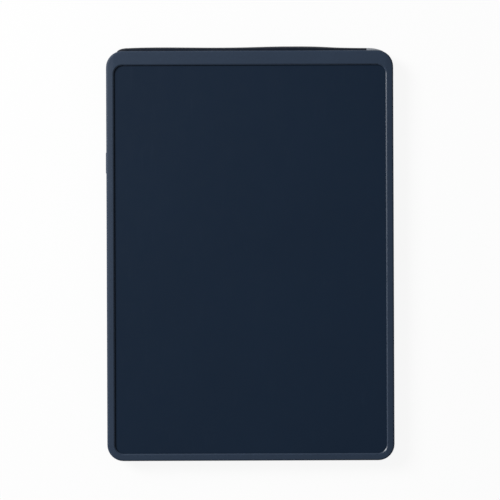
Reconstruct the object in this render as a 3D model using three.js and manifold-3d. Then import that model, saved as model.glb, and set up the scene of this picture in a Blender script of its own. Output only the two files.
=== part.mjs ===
import * as THREE from "three";
import { mergeVertices } from "three/addons/utils/BufferGeometryUtils.js";
import Module from "manifold-3d";

// LCD writing tablet with its stylus, in millimetres.
// +X is right, +Y runs towards the wide header, +Z comes out of the screen.
// The origin is the middle of the case, on the plane that the feet stand on.

const wasm = await Module();
wasm.setup();

// Case
const caseWidth = 156;
const caseLength = 222.7;
const caseDepth = 9;
const cornerRadius = 8.8;
const edgeRound = 1.1;
const sideWall = 1.5;
const rearWall = 1.5;
const rimHeight = 2.2; // outer rim of the rear cover
const shadowGap = 0.3; // groove seen between the two shells
const tongueRise = 0.9; // inner tongue of the rear cover, above its rim
const tongueInset = 0.9;
const lapClearance = 0.15;
const cornerSteps = 8;
const roundSteps = 4;
const sectorSteps = 5;
const smallSides = 16; // sides of a screw's circle
const midSides = 24;
const largeSides = 40;

// Window and the stack behind it
const railWidth = 4.2;
const footRail = 4; // along the bottom
const headerWidth = 7.8;
const windowRadius = 4.8;
const bevelWidth = 0.6;
const bevelDepth = 0.4;
const lipEdge = 0.4;
const filmOverlap = 1.8;
const filmThickness = 0.5;
const tapeThickness = 0.15;
const tapeMargin = 0.2;
const plateThickness = 1.2;
const plateClearance = 0.3;
const clipReach = 0.9; // in from the wall, under the edge of the plate
const clipLength = 9;
const clipHeight = 0.8;
const clipSpread = 74; // from the middle of the case, to either side
const stackGap = 0.04; // bond line between stacked faces
const weld = 0.5; // how far a feature runs into the wall it stands on
const past = 1; // how far a cut runs beyond the face it opens

// Stylus
const endCapLength = 6.6;
const barrelLength = 128.6;
const nibLength = 10.3;
const capRadius = 2.6;
const rearRadius = 2.87;
const waistRadius = 2.66;
const gripRadius = 3.2;
const neckRadius = 2.35;
const shoulderRadius = 2.2;
const nibTipRadius = 0.6;
const nibShoulder = 2; // from the barrel to the start of the taper
const nibStep = 0.05;
const nibTaper = 0.2;
const stylusJoint = 0.1; // seen between two pieces
const coreGap = 0.3;
const barrelBore = 1.3;
const shankLength = 6;
const shankClearance = 0.1;
const stylusShift = 0.25; // towards the nib, from the middle of the case
const stylusProud = 2.7; // above the header edge, at the grip
const stylusSides = 24;
const skinSteps = 14; // along the barrel
const capSteps = 5;
const rearShare = 0.1; // of the barrel's length, from the end cap
const waistShare = 0.41;
const gripShare = 0.72;
const neckShare = 0.92;

// Dock for the stylus, in the header edge
const dockClearance = 0.2;
const dockEndGap = 0.6;
const dockWall = 1.3;
const scoopWidth = 26;
const scoopDepth = 3.6;
const scoopRound = 3.4;
const scoopUnderStylus = 1.9; // from the stylus's middle line
const magnetLength = 10;
const magnetDepth = 1.8;
const magnetHeight = 2.6;
const magnetSpread = 36; // from the middle of the case
const magnetWall = 1;
const magnetCover = 0.7; // wall over and under a magnet
const magnetClearance = 0.1;

// Feet
const footRadius = 5;
const footProud = 0.6;
const footSeat = 0.8;
const footClearance = 0.15;
const footGlue = 0.05;
const footEdge = 0.5;
const footDraft = 0.15;
const footFromSide = 20;
const footFromHeader = 18.5;
const footFromBottom = 15.5;

// Screws: a self-tapping case screw and a shorter board screw share one head
const headRadius = 1.8;
const headHeight = 1;
const headEdge = 0.5;
const headDome = 0.35;
const threadRadius = 0.95;
const tipRadius = 0.55;
const tipLength = 0.6;
const driveReach = 1.05;
const driveHalfWidth = 0.2;
const driveDepth = 0.6;
const caseScrewLength = 4.4;
const boardScrewLength = 2.5;
const screwClearance = 0.08;
const throughClearance = 0.2;
const headClearance = 0.3;
const screwSeat = 1;
const screwSink = 1.6;
const bossWall = 1.35;
const screwFromSide = 8;
const screwFromHeader = 12.6;
const screwFromBottom = 8.6;

// Ribs of the rear cover
const ribThickness = 1.2;
const ribColumns = 5;
const ribRows = 5;
const ribGap = 0.1;
const ribSetback = 3.2;
const ribClear = 2; // around the board, the bosses and the magnets

// Erase key and its switch
const keyFromTop = 60.6;
const keyLength = 11.6;
const keyHeight = 2.2;
const keyProud = 0.5;
const keyTravel = 0.4;
const keyClearance = 0.15;
const keyFlange = 1.4; // past each end of the key
const keyFlangeDepth = 0.7;
const keyFlangeGap = 0.1;
const keyRound = 0.45;
const keyEndRadius = 1;
const switchLength = 6;
const switchDepth = 3;
const switchHeight = 2.5;
const switchMiddle = 1.55; // of the plunger, above the board
const switchOverhang = 0.2; // past the board's edge
const switchLegWidth = 1.2;
const switchLegReach = 0.8;
const switchLegSheet = 0.3;
const plungerLength = 2;
const plungerHeight = 1.2;
const plungerProud = 0.7;
const plungerDepth = 1.6; // of its bore in the switch
const plungerClearance = 0.1;

// Board
const boardWidth = 35;
const boardLength = 52;
const boardThickness = 0.8;
const boardRadius = 1.5;
const boardInset = 2.5; // from the side wall
const boardBelowKey = 8;
const boardFromBoss = 1.62; // below the header's screw bosses
const boardLift = 0.9; // above the rear wall
const boardPostRadius = 2.4;
const boardScrewInset = 3.7;
const boardBite = 0.5; // between the board and the battery cap's lugs

// Components on the board
const chipWidth = 4.9;
const chipDepth = 3.9;
const chipHeight = 1.5;
const pinCount = 4; // along each side
const pinPitch = 1.27;
const pinWidth = 0.4;
const pinReach = 3;
const pinSheet = 0.35;
const underGap = 0.1; // between a component's body and the board
const coilBase = 5.2;
const coilBaseHeight = 0.6;
const coilRadius = 2.2;
const coilHeight = 1.9;
const coilTopRadius = 2.5;
const coilTopHeight = 0.4;
const capacitorLength = 3.3;
const capacitorWidth = 1.7;
const capacitorHeight = 1.3;
const terminalLength = 0.45;
const terminalProud = 0.05;

// Battery
const cellRadius = 10;
const cellHeight = 3.2;
const cellEdge = 0.3;
const cellLidInset = 1.2;
const cellLidRise = 0.25;
const cellSeal = 0.2;
const cellSeat = 0.1; // between the cap's floor and the cell
const bayFromBoard = 8.5; // past the board's right edge
const bayBelowBoardMiddle = 2;
const bayWall = 2.4; // around the lugs
const capFlangeRadius = 14;
const capThickness = 1.2;
const capEdge = 0.3;
const capRingWall = 1.2;
const capRingClearance = 0.2;
const capGap = 0.15;
const lugReach = 1.4;
const lugHeight = 0.8;
const lugSweep = 24;
const lugCount = 3;
const ledgeHeight = 0.8;
const lugRun = 40; // degrees that the cap turns to open
const lugSlack = 3; // degrees
const coinSlotLength = 18;
const coinSlotWidth = 1.8;
const coinSlotDepth = 0.6;
const contactSheet = 0.25;
const contactWidth = 4;
const contactFoot = 3.4; // length soldered to the board
const contactRise = 1.2; // from the lugs to the upright part
const contactBow = 0.45; // above the cell
const contactTip = 2; // from the cell's middle
const contactKnee = 0.5;
const contactTurn = 140; // degrees, of the contact at the cell's rim

// Lock slider
const knobLength = 12;
const knobWidth = 6.4;
const knobThickness = 0.6;
const knobRadius = 1.8;
const knobEdge = 0.2;
const knobRibs = 5;
const knobRibHeight = 0.25;
const knobRibPitch = 1.5;
const knobRibLength = 4.4;
const knobRibWidth = 0.7;
const lockTravel = 3;
const lockSink = 0.75;
const lockSeat = 0.1; // between the knob and the floor of its pocket
const lockClearance = 0.2;
const stemLength = 5;
const stemWidth = 2.6;
const stemProud = 0.1; // through the rear wall
const keeperLength = 9;
const keeperWidth = 6.6;
const keeperThickness = 0.5;
const keeperRadius = 0.8;
const wiperSheet = 0.12;
const wiperWidth = 2;
const wiperBase = 4;
const wiperLength = 7.4;
const wiperTip = 1.2;
const wiperGap = 0.05;
const lockFromBoardMiddle = 9.4;
const lockFromBoardSide = 1.5;

// Film tail and its connector
const tailWidth = 9;
const tailThickness = 0.15;
const connectorWidth = 12;
const connectorDepth = 4;
const connectorHeight = 1.3;
const connectorFromEdge = 2.6;
const connectorBack = 1; // behind its mouth
const mouthClearance = 0.2;
const tailSlotMargin = 1;
const tailBend = 6; // length of the curve from the board up to the film

// Levels
const rearFace = footProud;
const frontFace = rearFace + caseDepth;
const floorTop = rearFace + rearWall;
const partingLevel = rearFace + rimHeight;
const tongueTop = partingLevel + tongueRise;
const lipUnder = frontFace - bevelDepth - lipEdge;
const tapeTop = lipUnder - stackGap;
const filmTop = tapeTop - tapeThickness - stackGap;
const plateTop = filmTop - filmThickness - stackGap;
const plateUnder = plateTop - plateThickness;
const boardUnder = floorTop + boardLift;
const boardTop = boardUnder + boardThickness;

// Places
const halfWidth = caseWidth / 2;
const halfLength = caseLength / 2;
const screwRows = [halfLength - screwFromHeader, 0, screwFromBottom - halfLength];
const bossRadius = threadRadius + screwClearance + bossWall;
const dockRadius = gripRadius + dockClearance;
const stylusY = halfLength + stylusProud - gripRadius;
const stylusZ = (rearFace + frontFace) / 2;
const dockInner = stylusY - dockRadius - dockWall;
const stylusLength = endCapLength + barrelLength + nibLength;
const keyY = halfLength - keyFromTop;
const keyZ = boardTop + stackGap + switchMiddle;
const boardX = -halfWidth + sideWall + boardInset + boardWidth / 2;
const boardNearKey = keyY - boardBelowKey + boardLength / 2;
const boardUnderBosses = screwRows[0] - bossRadius - boardFromBoss - boardLength / 2;
const boardY = Math.min(boardNearKey, boardUnderBosses);
const bayX = boardX + boardWidth / 2 + bayFromBoard;
const bayY = boardY - bayBelowBoardMiddle;
const capRingInner = cellRadius + capRingClearance;
const capRingOuter = capRingInner + capRingWall;
const lugOuter = capRingOuter + lugReach;
const ledgeUnder = rearFace + capThickness + capGap;
const ledgeTop = ledgeUnder + ledgeHeight;
const lugUnder = ledgeTop + capGap;
const cellLow = rearFace + capThickness + cellSeat;
const cellTop = cellLow + cellHeight;
const bossFoot = rearFace + screwSink + screwSeat;
const switchFace = -boardWidth / 2 - switchOverhang;
const keeperUnder = floorTop + stemProud + stackGap;
const lockX = boardX - lockFromBoardSide;
const lockY = boardY + lockFromBoardMiddle;
const connectorY = boardLength / 2 - connectorFromEdge - connectorDepth / 2;
const footRows = [halfLength - footFromHeader, footFromBottom - halfLength];
const screwPlaces = [-1, 1].flatMap((side) =>
  screwRows.map((y) => [side * (halfWidth - screwFromSide), y]),
);
const footPlaces = [-1, 1].flatMap((side) =>
  footRows.map((y) => [side * (halfWidth - footFromSide), y]),
);
const magnetPlaces = [-magnetSpread, magnetSpread];
const clipPlaces = [-clipSpread, -clipSpread / 3, clipSpread / 3];
const chipPlace = [-6, -4];
const coilPlace = [5, 12.5];
const capacitorPlaces = [
  [-6, 2.5],
  [-6, -10],
  [5, -18],
];
const boardScrewPlaces = [
  [boardScrewInset - boardWidth / 2, boardLength / 2 - boardScrewInset],
  [boardWidth / 2 - boardScrewInset, boardLength / 2 - boardScrewInset],
  [boardWidth / 2 - boardScrewInset, boardScrewInset - boardLength / 2],
];

// Solids from three.js geometry, and back

function solidOf(geometry) {
  const bare = geometry.index ? geometry.toNonIndexed() : geometry.clone();
  bare.deleteAttribute("normal");
  bare.deleteAttribute("uv");
  const merged = mergeVertices(bare, 1e-4);
  return new wasm.Manifold(
    new wasm.Mesh({
      numProp: 3,
      vertProperties: merged.attributes.position.array,
      triVerts: new Uint32Array(merged.index.array),
    }),
  );
}

function geometryOf(solid) {
  const mesh = solid.getMesh();
  const geometry = new THREE.BufferGeometry();
  geometry.setAttribute("position", new THREE.BufferAttribute(mesh.vertProperties, 3));
  geometry.setIndex(new THREE.BufferAttribute(mesh.triVerts, 1));
  const flat = geometry.toNonIndexed();
  flat.computeVertexNormals();
  return flat;
}

function joined(solids) {
  return solids.reduce((whole, solid) => whole.add(solid));
}

function box(low, high) {
  const size = high.map((value, axis) => value - low[axis]);
  const middle = high.map((value, axis) => (value + low[axis]) / 2);
  return solidOf(new THREE.BoxGeometry(...size).translate(...middle));
}

function disc(radius, x, y, low, high, sides = smallSides) {
  const round = new THREE.CylinderGeometry(radius, radius, high - low, sides).rotateX(Math.PI / 2);
  return solidOf(round.translate(x, y, (low + high) / 2));
}

// A slab with rounded corners. Each [inset, level] of its profile is one outline, from the bottom up.
function slab({ width, length, radius, x = 0, y = 0 }, profile) {
  const points = [];
  const faces = [];
  const ringSize = 4 * (cornerSteps + 1);
  for (const [inset, level] of profile) {
    const r = radius - inset;
    for (let corner = 0; corner < 4; corner++) {
      const sideX = corner === 0 || corner === 3 ? 1 : -1;
      const sideY = corner < 2 ? 1 : -1;
      for (let step = 0; step <= cornerSteps; step++) {
        const angle = (corner + step / cornerSteps) * (Math.PI / 2);
        points.push(
          x + sideX * (width / 2 - radius) + r * Math.cos(angle),
          y + sideY * (length / 2 - radius) + r * Math.sin(angle),
          level,
        );
      }
    }
  }
  for (let ring = 0; ring + 1 < profile.length; ring++) {
    for (let i = 0; i < ringSize; i++) {
      const a = ring * ringSize + i;
      const b = ring * ringSize + ((i + 1) % ringSize);
      faces.push(a, b, b + ringSize, a, b + ringSize, a + ringSize);
    }
  }
  const top = (profile.length - 1) * ringSize;
  for (let i = 1; i + 1 < ringSize; i++) {
    faces.push(0, i + 1, i);
    faces.push(top, top + i, top + i + 1);
  }
  const geometry = new THREE.BufferGeometry();
  geometry.setAttribute("position", new THREE.Float32BufferAttribute(points, 3));
  geometry.setIndex(faces);
  return solidOf(geometry);
}

// A strip of sheet that follows points in the plane of (along, level), centred across its width.
function strip(points, thickness, width) {
  const line = points.map(([along, level]) => new THREE.Vector2(along, level));
  const offsets = line.map((point, i) => {
    const before = line[Math.max(i - 1, 0)];
    const after = line[Math.min(i + 1, line.length - 1)];
    const into = point.clone().sub(before).normalize();
    const out = after.clone().sub(point).normalize();
    const along = into.add(out).normalize();
    const first = i === 0 ? out : point.clone().sub(before).normalize();
    const mitre = thickness / 2 / Math.max(Math.abs(along.dot(first)), 0.5);
    return new THREE.Vector2(-along.y, along.x).multiplyScalar(mitre);
  });
  const above = line.map((point, i) => point.clone().add(offsets[i]));
  const below = line.map((point, i) => point.clone().sub(offsets[i])).reverse();
  const side = new THREE.Shape([...above, ...below]);
  const sheet = new THREE.ExtrudeGeometry(side, { depth: width, bevelEnabled: false, steps: 1 });
  return solidOf(sheet.translate(0, 0, -width / 2).rotateX(Math.PI / 2));
}

// A piece of a ring about Z, with its angles in degrees.
function sector(inner, outer, start, sweep, low, high) {
  const from = THREE.MathUtils.degToRad(start);
  const to = THREE.MathUtils.degToRad(start + sweep);
  const shape = new THREE.Shape();
  shape.absarc(0, 0, outer, from, to, false);
  shape.absarc(0, 0, inner, to, from, true);
  const settings = { depth: high - low, bevelEnabled: false, curveSegments: sectorSteps };
  return solidOf(new THREE.ExtrudeGeometry(shape, settings).translate(0, 0, low));
}

function quarterRound(radius, level, direction) {
  return Array.from({ length: roundSteps + 1 }, (_, step) => {
    const angle = ((step / roundSteps) * Math.PI) / 2;
    return [radius * (1 - Math.cos(angle)), level + direction * radius * (Math.sin(angle) - 1)];
  });
}

function outline(inset) {
  return { width: caseWidth - 2 * inset, length: caseLength - 2 * inset, radius: cornerRadius - inset };
}

function windowOutline(grow) {
  return {
    width: caseWidth - 2 * railWidth + 2 * grow,
    length: caseLength - footRail - headerWidth + 2 * grow,
    radius: windowRadius + grow,
    y: (footRail - headerWidth) / 2,
  };
}

// The hollow of the case, which ends at the wall of the stylus dock.
function hollow(inset, low, high) {
  const limit = dockInner - inset + sideWall;
  const behindDock = box([-caseWidth, limit, low - past], [caseWidth, caseLength, high + past]);
  return slab(outline(inset), [
    [0, low],
    [0, high],
  ]).subtract(behindDock);
}

function dockChannel() {
  const low = stylusShift - stylusLength / 2 - dockEndGap;
  const high = stylusShift + stylusLength / 2 + dockEndGap;
  const floor = new THREE.CylinderGeometry(dockRadius, dockRadius, high - low, midSides).rotateZ(Math.PI / 2);
  const mouth = box([low, stylusY, stylusZ - dockRadius], [high, caseLength, stylusZ + dockRadius]);
  return solidOf(floor.translate((low + high) / 2, stylusY, stylusZ)).add(mouth);
}

function magnetBoss(x, grow = 0) {
  const reach = magnetLength / 2 + magnetWall + grow;
  const back = dockInner - magnetDepth - magnetClearance - grow;
  const rise = magnetHeight / 2 + magnetCover + grow;
  return box([x - reach, back, stylusZ - rise], [x + reach, dockInner + past, stylusZ + rise]);
}

function magnetPocket(x) {
  const reach = magnetLength / 2 + magnetClearance;
  const back = dockInner - magnetDepth - magnetClearance - past;
  const rise = magnetHeight / 2 + magnetClearance;
  return box([x - reach, back, stylusZ - rise], [x + reach, dockInner + magnetClearance, stylusZ + rise]);
}

// Small ledges on the inner walls of the frame, which hold the backing plate under the film.
function plateClips() {
  const top = plateUnder - stackGap;
  const wallX = halfWidth - sideWall;
  const wallY = halfLength - sideWall;
  const sides = [-1, 1].flatMap((side) =>
    clipPlaces.map((y) =>
      box(
        [side > 0 ? wallX - clipReach : -wallX - weld, y - clipLength / 2, top - clipHeight],
        [side > 0 ? wallX + weld : clipReach - wallX, y + clipLength / 2, top],
      ),
    ),
  );
  const ends = [-1, 1].map((side) => {
    const x = (side * caseWidth) / 4;
    const reach = clipLength / 2;
    return box([x - reach, -wallY - weld, top - clipHeight], [x + reach, clipReach - wallY, top]);
  });
  return [...sides, ...ends];
}

function frontFrame() {
  const bottom = partingLevel + shadowGap;
  const shell = slab(outline(0), [[0, bottom], ...quarterRound(edgeRound, frontFace, 1)]);
  const rebate = slab(outline(tongueInset - lapClearance), [
    [0, bottom - past],
    [0, tongueTop + lapClearance],
  ]);
  const opening = slab(windowOutline(0), [
    [0, lipUnder - past],
    [0, lipUnder + lipEdge],
    [-bevelWidth, frontFace],
    [-bevelWidth, frontFace + past],
  ]);
  const keySlot = box(
    [-caseWidth, keyY - keyLength / 2 - keyClearance, keyZ - keyHeight / 2 - keyClearance],
    [-halfWidth + 2 * sideWall, keyY + keyLength / 2 + keyClearance, keyZ + keyHeight / 2 + keyClearance],
  );
  return shell
    .subtract(hollow(sideWall, bottom - past, lipUnder))
    .add(joined(magnetPlaces.map((x) => magnetBoss(x))))
    .subtract(joined(magnetPlaces.map(magnetPocket)))
    .add(joined(plateClips()))
    .subtract(rebate)
    .subtract(opening)
    .subtract(dockChannel())
    .subtract(keySlot);
}

function coverRibs() {
  const top = plateUnder - ribGap;
  const inner = { x: halfWidth - ribSetback, low: ribSetback - halfLength, high: dockInner - ribSetback };
  const half = ribThickness / 2;
  const ribs = [];
  for (let column = 0; column < ribColumns; column++) {
    const x = inner.x * (2 * ((column + 0.5) / ribColumns) - 1);
    ribs.push(box([x - half, inner.low, floorTop - weld], [x + half, inner.high, top]));
  }
  for (let row = 0; row < ribRows; row++) {
    const y = inner.low + (inner.high - inner.low) * ((row + 0.5) / ribRows);
    ribs.push(box([-inner.x, y - half, floorTop - weld], [inner.x, y + half, top]));
  }
  const low = floorTop - past;
  const aroundBoard = box(
    [-caseWidth, boardY - boardLength / 2 - ribClear, low],
    [bayX + lugOuter + bayWall + ribClear, caseLength, frontFace],
  );
  const aroundBosses = joined(screwPlaces.map(([x, y]) => disc(bossRadius + ribClear, x, y, low, frontFace)));
  const aroundMagnets = joined(magnetPlaces.map((x) => magnetBoss(x, ribClear)));
  return joined(ribs).subtract(aroundBoard).subtract(aroundBosses).subtract(aroundMagnets);
}

function bayCut() {
  const flange = disc(capFlangeRadius + capGap, 0, 0, rearFace - past, ledgeUnder, largeSides);
  const throat = disc(capRingOuter + capGap, 0, 0, rearFace - past, ledgeTop + past, largeSides);
  const notches = lugAngles().map((angle) =>
    sector(
      capRingInner,
      lugOuter + capGap,
      angle - lugRun - lugSlack,
      lugSweep + 2 * lugSlack,
      rearFace,
      ledgeTop + past,
    ),
  );
  return joined([flange, throat, ...notches]);
}

function lugAngles() {
  return Array.from({ length: lugCount }, (_, i) => (i * 360) / lugCount);
}

function rearCover() {
  const pan = slab(outline(0), [...quarterRound(edgeRound, rearFace, -1).reverse(), [0, partingLevel]]);
  const tongue = slab(outline(tongueInset), [
    [0, partingLevel - weld],
    [0, tongueTop],
  ]);
  const seats = screwPlaces.map(([x, y]) =>
    disc(headRadius + headClearance + bossWall, x, y, floorTop - weld, bossFoot),
  );
  const posts = boardScrewPlaces.map(([x, y]) =>
    disc(boardPostRadius, boardX + x, boardY + y, floorTop - weld, boardUnder - stackGap),
  );
  const bayBoss = disc(lugOuter + bayWall, bayX, bayY, floorTop - weld, ledgeTop, largeSides);
  const sinks = screwPlaces.map(([x, y]) =>
    disc(headRadius + headClearance, x, y, rearFace - past, rearFace + screwSink),
  );
  const holes = screwPlaces.map(([x, y]) => disc(threadRadius + throughClearance, x, y, rearFace, frontFace));
  const pilots = boardScrewPlaces.map(([x, y]) =>
    disc(
      threadRadius + screwClearance,
      boardX + x,
      boardY + y,
      boardTop + stackGap - boardScrewLength - screwClearance,
      frontFace,
    ),
  );
  const feet = footPlaces.map(([x, y]) =>
    disc(footRadius + footClearance, x, y, rearFace - past, rearFace + footSeat, midSides),
  );
  return pan
    .add(tongue)
    .subtract(hollow(sideWall, floorTop, frontFace))
    .add(joined([coverRibs(), bayBoss, ...seats, ...posts]))
    .subtract(joined([...sinks, ...holes, ...pilots, ...feet]))
    .subtract(lockCut())
    .subtract(bayCut().translate(bayX, bayY, 0))
    .subtract(dockChannel())
    .subtract(scoop());
}

function lockCut() {
  const pocket = slab(
    {
      width: knobWidth + 2 * lockClearance,
      length: knobLength + lockTravel + 2 * lockClearance,
      radius: knobRadius + lockClearance,
      x: lockX,
      y: lockY,
    },
    [
      [0, rearFace - past],
      [0, rearFace + lockSink],
    ],
  );
  const slotReach = (stemLength + lockTravel) / 2 + lockClearance;
  const slot = box(
    [lockX - stemWidth / 2 - lockClearance, lockY - slotReach, rearFace],
    [lockX + stemWidth / 2 + lockClearance, lockY + slotReach, floorTop + past],
  );
  return pocket.add(slot);
}

function scoop() {
  return slab({ width: scoopWidth, length: 2 * scoopDepth, radius: scoopRound, y: halfLength }, [
    [0, rearFace - past],
    [0, stylusZ - scoopUnderStylus],
  ]);
}

function backingPlate() {
  const inset = sideWall + plateClearance;
  const plate = hollow(inset, plateUnder, plateTop);
  const bossEnd = bossFoot + ribGap;
  const bosses = screwPlaces.map(([x, y]) => disc(bossRadius, x, y, bossEnd, plateUnder + weld));
  const pilots = screwPlaces.map(([x, y]) =>
    disc(threadRadius + screwClearance, x, y, bossEnd - past, plateUnder + plateThickness / 2),
  );
  const notches = magnetPlaces.map((x) => magnetBoss(x, plateClearance).translate(0, 0, plateThickness));
  const tailSlot = box(
    [boardX - tailWidth / 2 - tailSlotMargin, boardY + (boardLength - tailSlotMargin) / 2, plateUnder - past],
    [boardX + tailWidth / 2 + tailSlotMargin, caseLength, plateTop + past],
  );
  return plate.add(joined(bosses)).subtract(joined([...pilots, ...notches, tailSlot]));
}

function writingFilm() {
  return slab(windowOutline(filmOverlap), [
    [0, filmTop - filmThickness],
    [0, filmTop],
  ]);
}

function filmTape() {
  const levels = [
    [0, tapeTop - tapeThickness],
    [0, tapeTop],
  ];
  const cut = [
    [0, tapeTop - tapeThickness - past],
    [0, tapeTop + past],
  ];
  return slab(windowOutline(filmOverlap - tapeMargin), levels).subtract(slab(windowOutline(tapeMargin), cut));
}

// Parts on the board are drawn about its middle, with the board's top face at level 0.

function mainBoard() {
  const sheet = slab({ width: boardWidth, length: boardLength, radius: boardRadius }, [
    [0, -boardThickness],
    [0, 0],
  ]);
  const low = -boardThickness - past;
  const holes = boardScrewPlaces.map(([x, y]) => disc(threadRadius + throughClearance, x, y, low, past));
  const bite = disc(lugOuter + boardBite, bayX - boardX, bayY - boardY, low, past, largeSides);
  return sheet.subtract(joined([...holes, bite]));
}

function eraseSwitch() {
  const low = switchFace;
  const y = keyY - boardY;
  const z = keyZ - boardTop;
  const reach = plungerLength / 2 + plungerClearance;
  const rise = plungerHeight / 2 + plungerClearance;
  const legX = low + (switchDepth - switchLegWidth) / 2;
  const half = switchLength / 2;
  const body = box([low, y - half, stackGap], [low + switchDepth, y + half, switchHeight]);
  const bore = box([low - past, y - reach, z - rise], [low + plungerDepth, y + reach, z + rise]);
  const legs = box(
    [legX, y - half - switchLegReach, stackGap],
    [legX + switchLegWidth, y + half + switchLegReach, switchLegSheet],
  );
  return body.add(legs).subtract(bore);
}

function chip() {
  const body = box([-chipWidth / 2, -chipDepth / 2, underGap], [chipWidth / 2, chipDepth / 2, chipHeight]);
  const pins = Array.from({ length: pinCount }, (_, i) => {
    const x = (i - (pinCount - 1) / 2) * pinPitch;
    return box([x - pinWidth / 2, -pinReach, stackGap], [x + pinWidth / 2, pinReach, pinSheet]);
  });
  return joined([body, ...pins]);
}

function inductor() {
  const base = box([-coilBase / 2, -coilBase / 2, stackGap], [coilBase / 2, coilBase / 2, coilBaseHeight]);
  const coil = disc(coilRadius, 0, 0, stackGap, coilHeight + coilTopHeight / 2);
  return joined([base, coil, disc(coilTopRadius, 0, 0, coilHeight, coilHeight + coilTopHeight)]);
}

function capacitor() {
  const reach = capacitorLength / 2;
  const side = capacitorWidth / 2;
  const body = box(
    [underGap - reach, terminalProud - side, underGap],
    [reach - underGap, side - terminalProud, capacitorHeight - terminalProud],
  );
  const left = box([-reach, -side, stackGap], [terminalLength - reach, side, capacitorHeight]);
  const right = box([reach - terminalLength, -side, stackGap], [reach, side, capacitorHeight]);
  return joined([body, left, right]);
}

function flexConnector() {
  const body = box(
    [-connectorWidth / 2, -connectorDepth / 2, stackGap],
    [connectorWidth / 2, connectorDepth / 2, connectorHeight],
  );
  const reach = tailWidth / 2 + mouthClearance;
  const level = connectorHeight / 2;
  const mouth = box(
    [-reach, connectorBack - connectorDepth / 2, level - mouthClearance],
    [reach, connectorDepth, level + mouthClearance],
  );
  return body.subtract(mouth);
}

// The tail leaves the underside of the film, passes the backing plate and enters the connector.
function flexTail() {
  const high = filmTop - filmThickness - stackGap - tailThickness / 2;
  const low = boardTop + connectorHeight / 2;
  const mouth = boardY + connectorY + connectorDepth / 2;
  const filmEdge = halfLength - headerWidth + filmOverlap;
  const curve = new THREE.CubicBezierCurve(
    new THREE.Vector2(mouth + past + tailBend, high),
    new THREE.Vector2(mouth + past + tailBend * 0.4, high),
    new THREE.Vector2(mouth + past + tailBend * 0.6, low),
    new THREE.Vector2(mouth + past, low),
  );
  const bend = curve.getPoints(10).map((point) => [point.x, point.y]);
  const inside = mouth - connectorDepth + connectorBack + mouthClearance;
  const sheet = strip([[filmEdge - weld, high], ...bend, [inside, low]], tailThickness, tailWidth);
  return sheet.rotate([0, 0, 90]);
}

function cellContactNegative() {
  const base = stackGap + contactSheet / 2;
  const top = cellTop - boardTop + contactBow;
  const rest = cellTop - boardTop + stackGap + contactSheet / 2;
  const upright = lugOuter + contactRise;
  return strip(
    [
      [upright + contactFoot + contactKnee, base],
      [upright + contactKnee, base],
      [upright, top],
      [contactTip + contactFoot, top],
      [contactTip + contactWidth / 2, rest],
      [contactTip, rest + contactSheet],
    ],
    contactSheet,
    contactWidth,
  );
}

function cellContactPositive() {
  const base = stackGap + contactSheet / 2;
  const rim = cellRadius + cellSeat + contactSheet / 2;
  return strip(
    [
      [lugOuter + contactWidth, base],
      [rim + contactKnee, base],
      [rim, base + contactKnee],
      [rim, base + 2 * contactKnee],
      [rim + contactKnee, base + 3 * contactKnee],
    ],
    contactSheet,
    contactWidth,
  );
}

function coinCell() {
  const lidFoot = cellTop - cellLidRise;
  const lidRadius = cellRadius - cellLidInset;
  const profile = [
    [0, cellLow],
    [cellRadius - cellEdge, cellLow],
    [cellRadius, cellLow + cellEdge],
    [cellRadius, lidFoot - cellEdge],
    [cellRadius - cellEdge, lidFoot],
    [lidRadius, lidFoot],
    [lidRadius - cellSeal, cellTop],
    [0, cellTop],
  ];
  return turned(profile, largeSides);
}

function turned(profile, sides) {
  const line = profile.map(([radius, level]) => new THREE.Vector2(radius, level));
  return solidOf(new THREE.LatheGeometry(line, sides).rotateX(Math.PI / 2));
}

function batteryCap() {
  const ringTop = lugUnder + lugHeight;
  const profile = [
    [0, rearFace],
    [capFlangeRadius - capEdge, rearFace],
    [capFlangeRadius, rearFace + capEdge],
    [capFlangeRadius, rearFace + capThickness],
    [capRingOuter, rearFace + capThickness],
    [capRingOuter, ringTop],
    [capRingInner, ringTop],
    [capRingInner, rearFace + capThickness],
    [0, rearFace + capThickness],
  ];
  const lugs = lugAngles().map((angle) =>
    sector(capRingOuter - weld, lugOuter, angle, lugSweep, lugUnder, ringTop),
  );
  const slot = box(
    [-coinSlotLength / 2, -coinSlotWidth / 2, rearFace - past],
    [coinSlotLength / 2, coinSlotWidth / 2, rearFace + coinSlotDepth],
  );
  return joined([turned(profile, largeSides), ...lugs]).subtract(slot);
}

function eraseKey() {
  const flangeFace = sideWall + keyFlangeGap - halfWidth;
  const capDepth = keyProud + sideWall + keyFlangeGap + weld;
  const cap = slab({ width: keyHeight, length: keyLength, radius: keyEndRadius }, [
    [0, 0],
    ...quarterRound(keyRound, capDepth, 1),
  ])
    .rotate([0, -90, 0])
    .translate(flangeFace + weld, keyY, keyZ);
  const flange = box(
    [flangeFace, keyY - keyLength / 2 - keyFlange, keyZ - keyHeight / 2],
    [flangeFace + keyFlangeDepth, keyY + keyLength / 2 + keyFlange, keyZ + keyHeight / 2],
  );
  const nub = box(
    [flangeFace + keyFlangeDepth - weld, keyY - plungerLength / 2, keyZ - plungerHeight / 2],
    [boardX + switchFace - plungerProud - stackGap, keyY + plungerLength / 2, keyZ + plungerHeight / 2],
  );
  return joined([cap, flange, nub]);
}

function switchPlunger() {
  const face = boardX + switchFace;
  const end = face + plungerDepth - keyTravel - plungerClearance;
  return box(
    [face - plungerProud, keyY - plungerLength / 2, keyZ - plungerHeight / 2],
    [end, keyY + plungerLength / 2, keyZ + plungerHeight / 2],
  );
}

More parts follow.
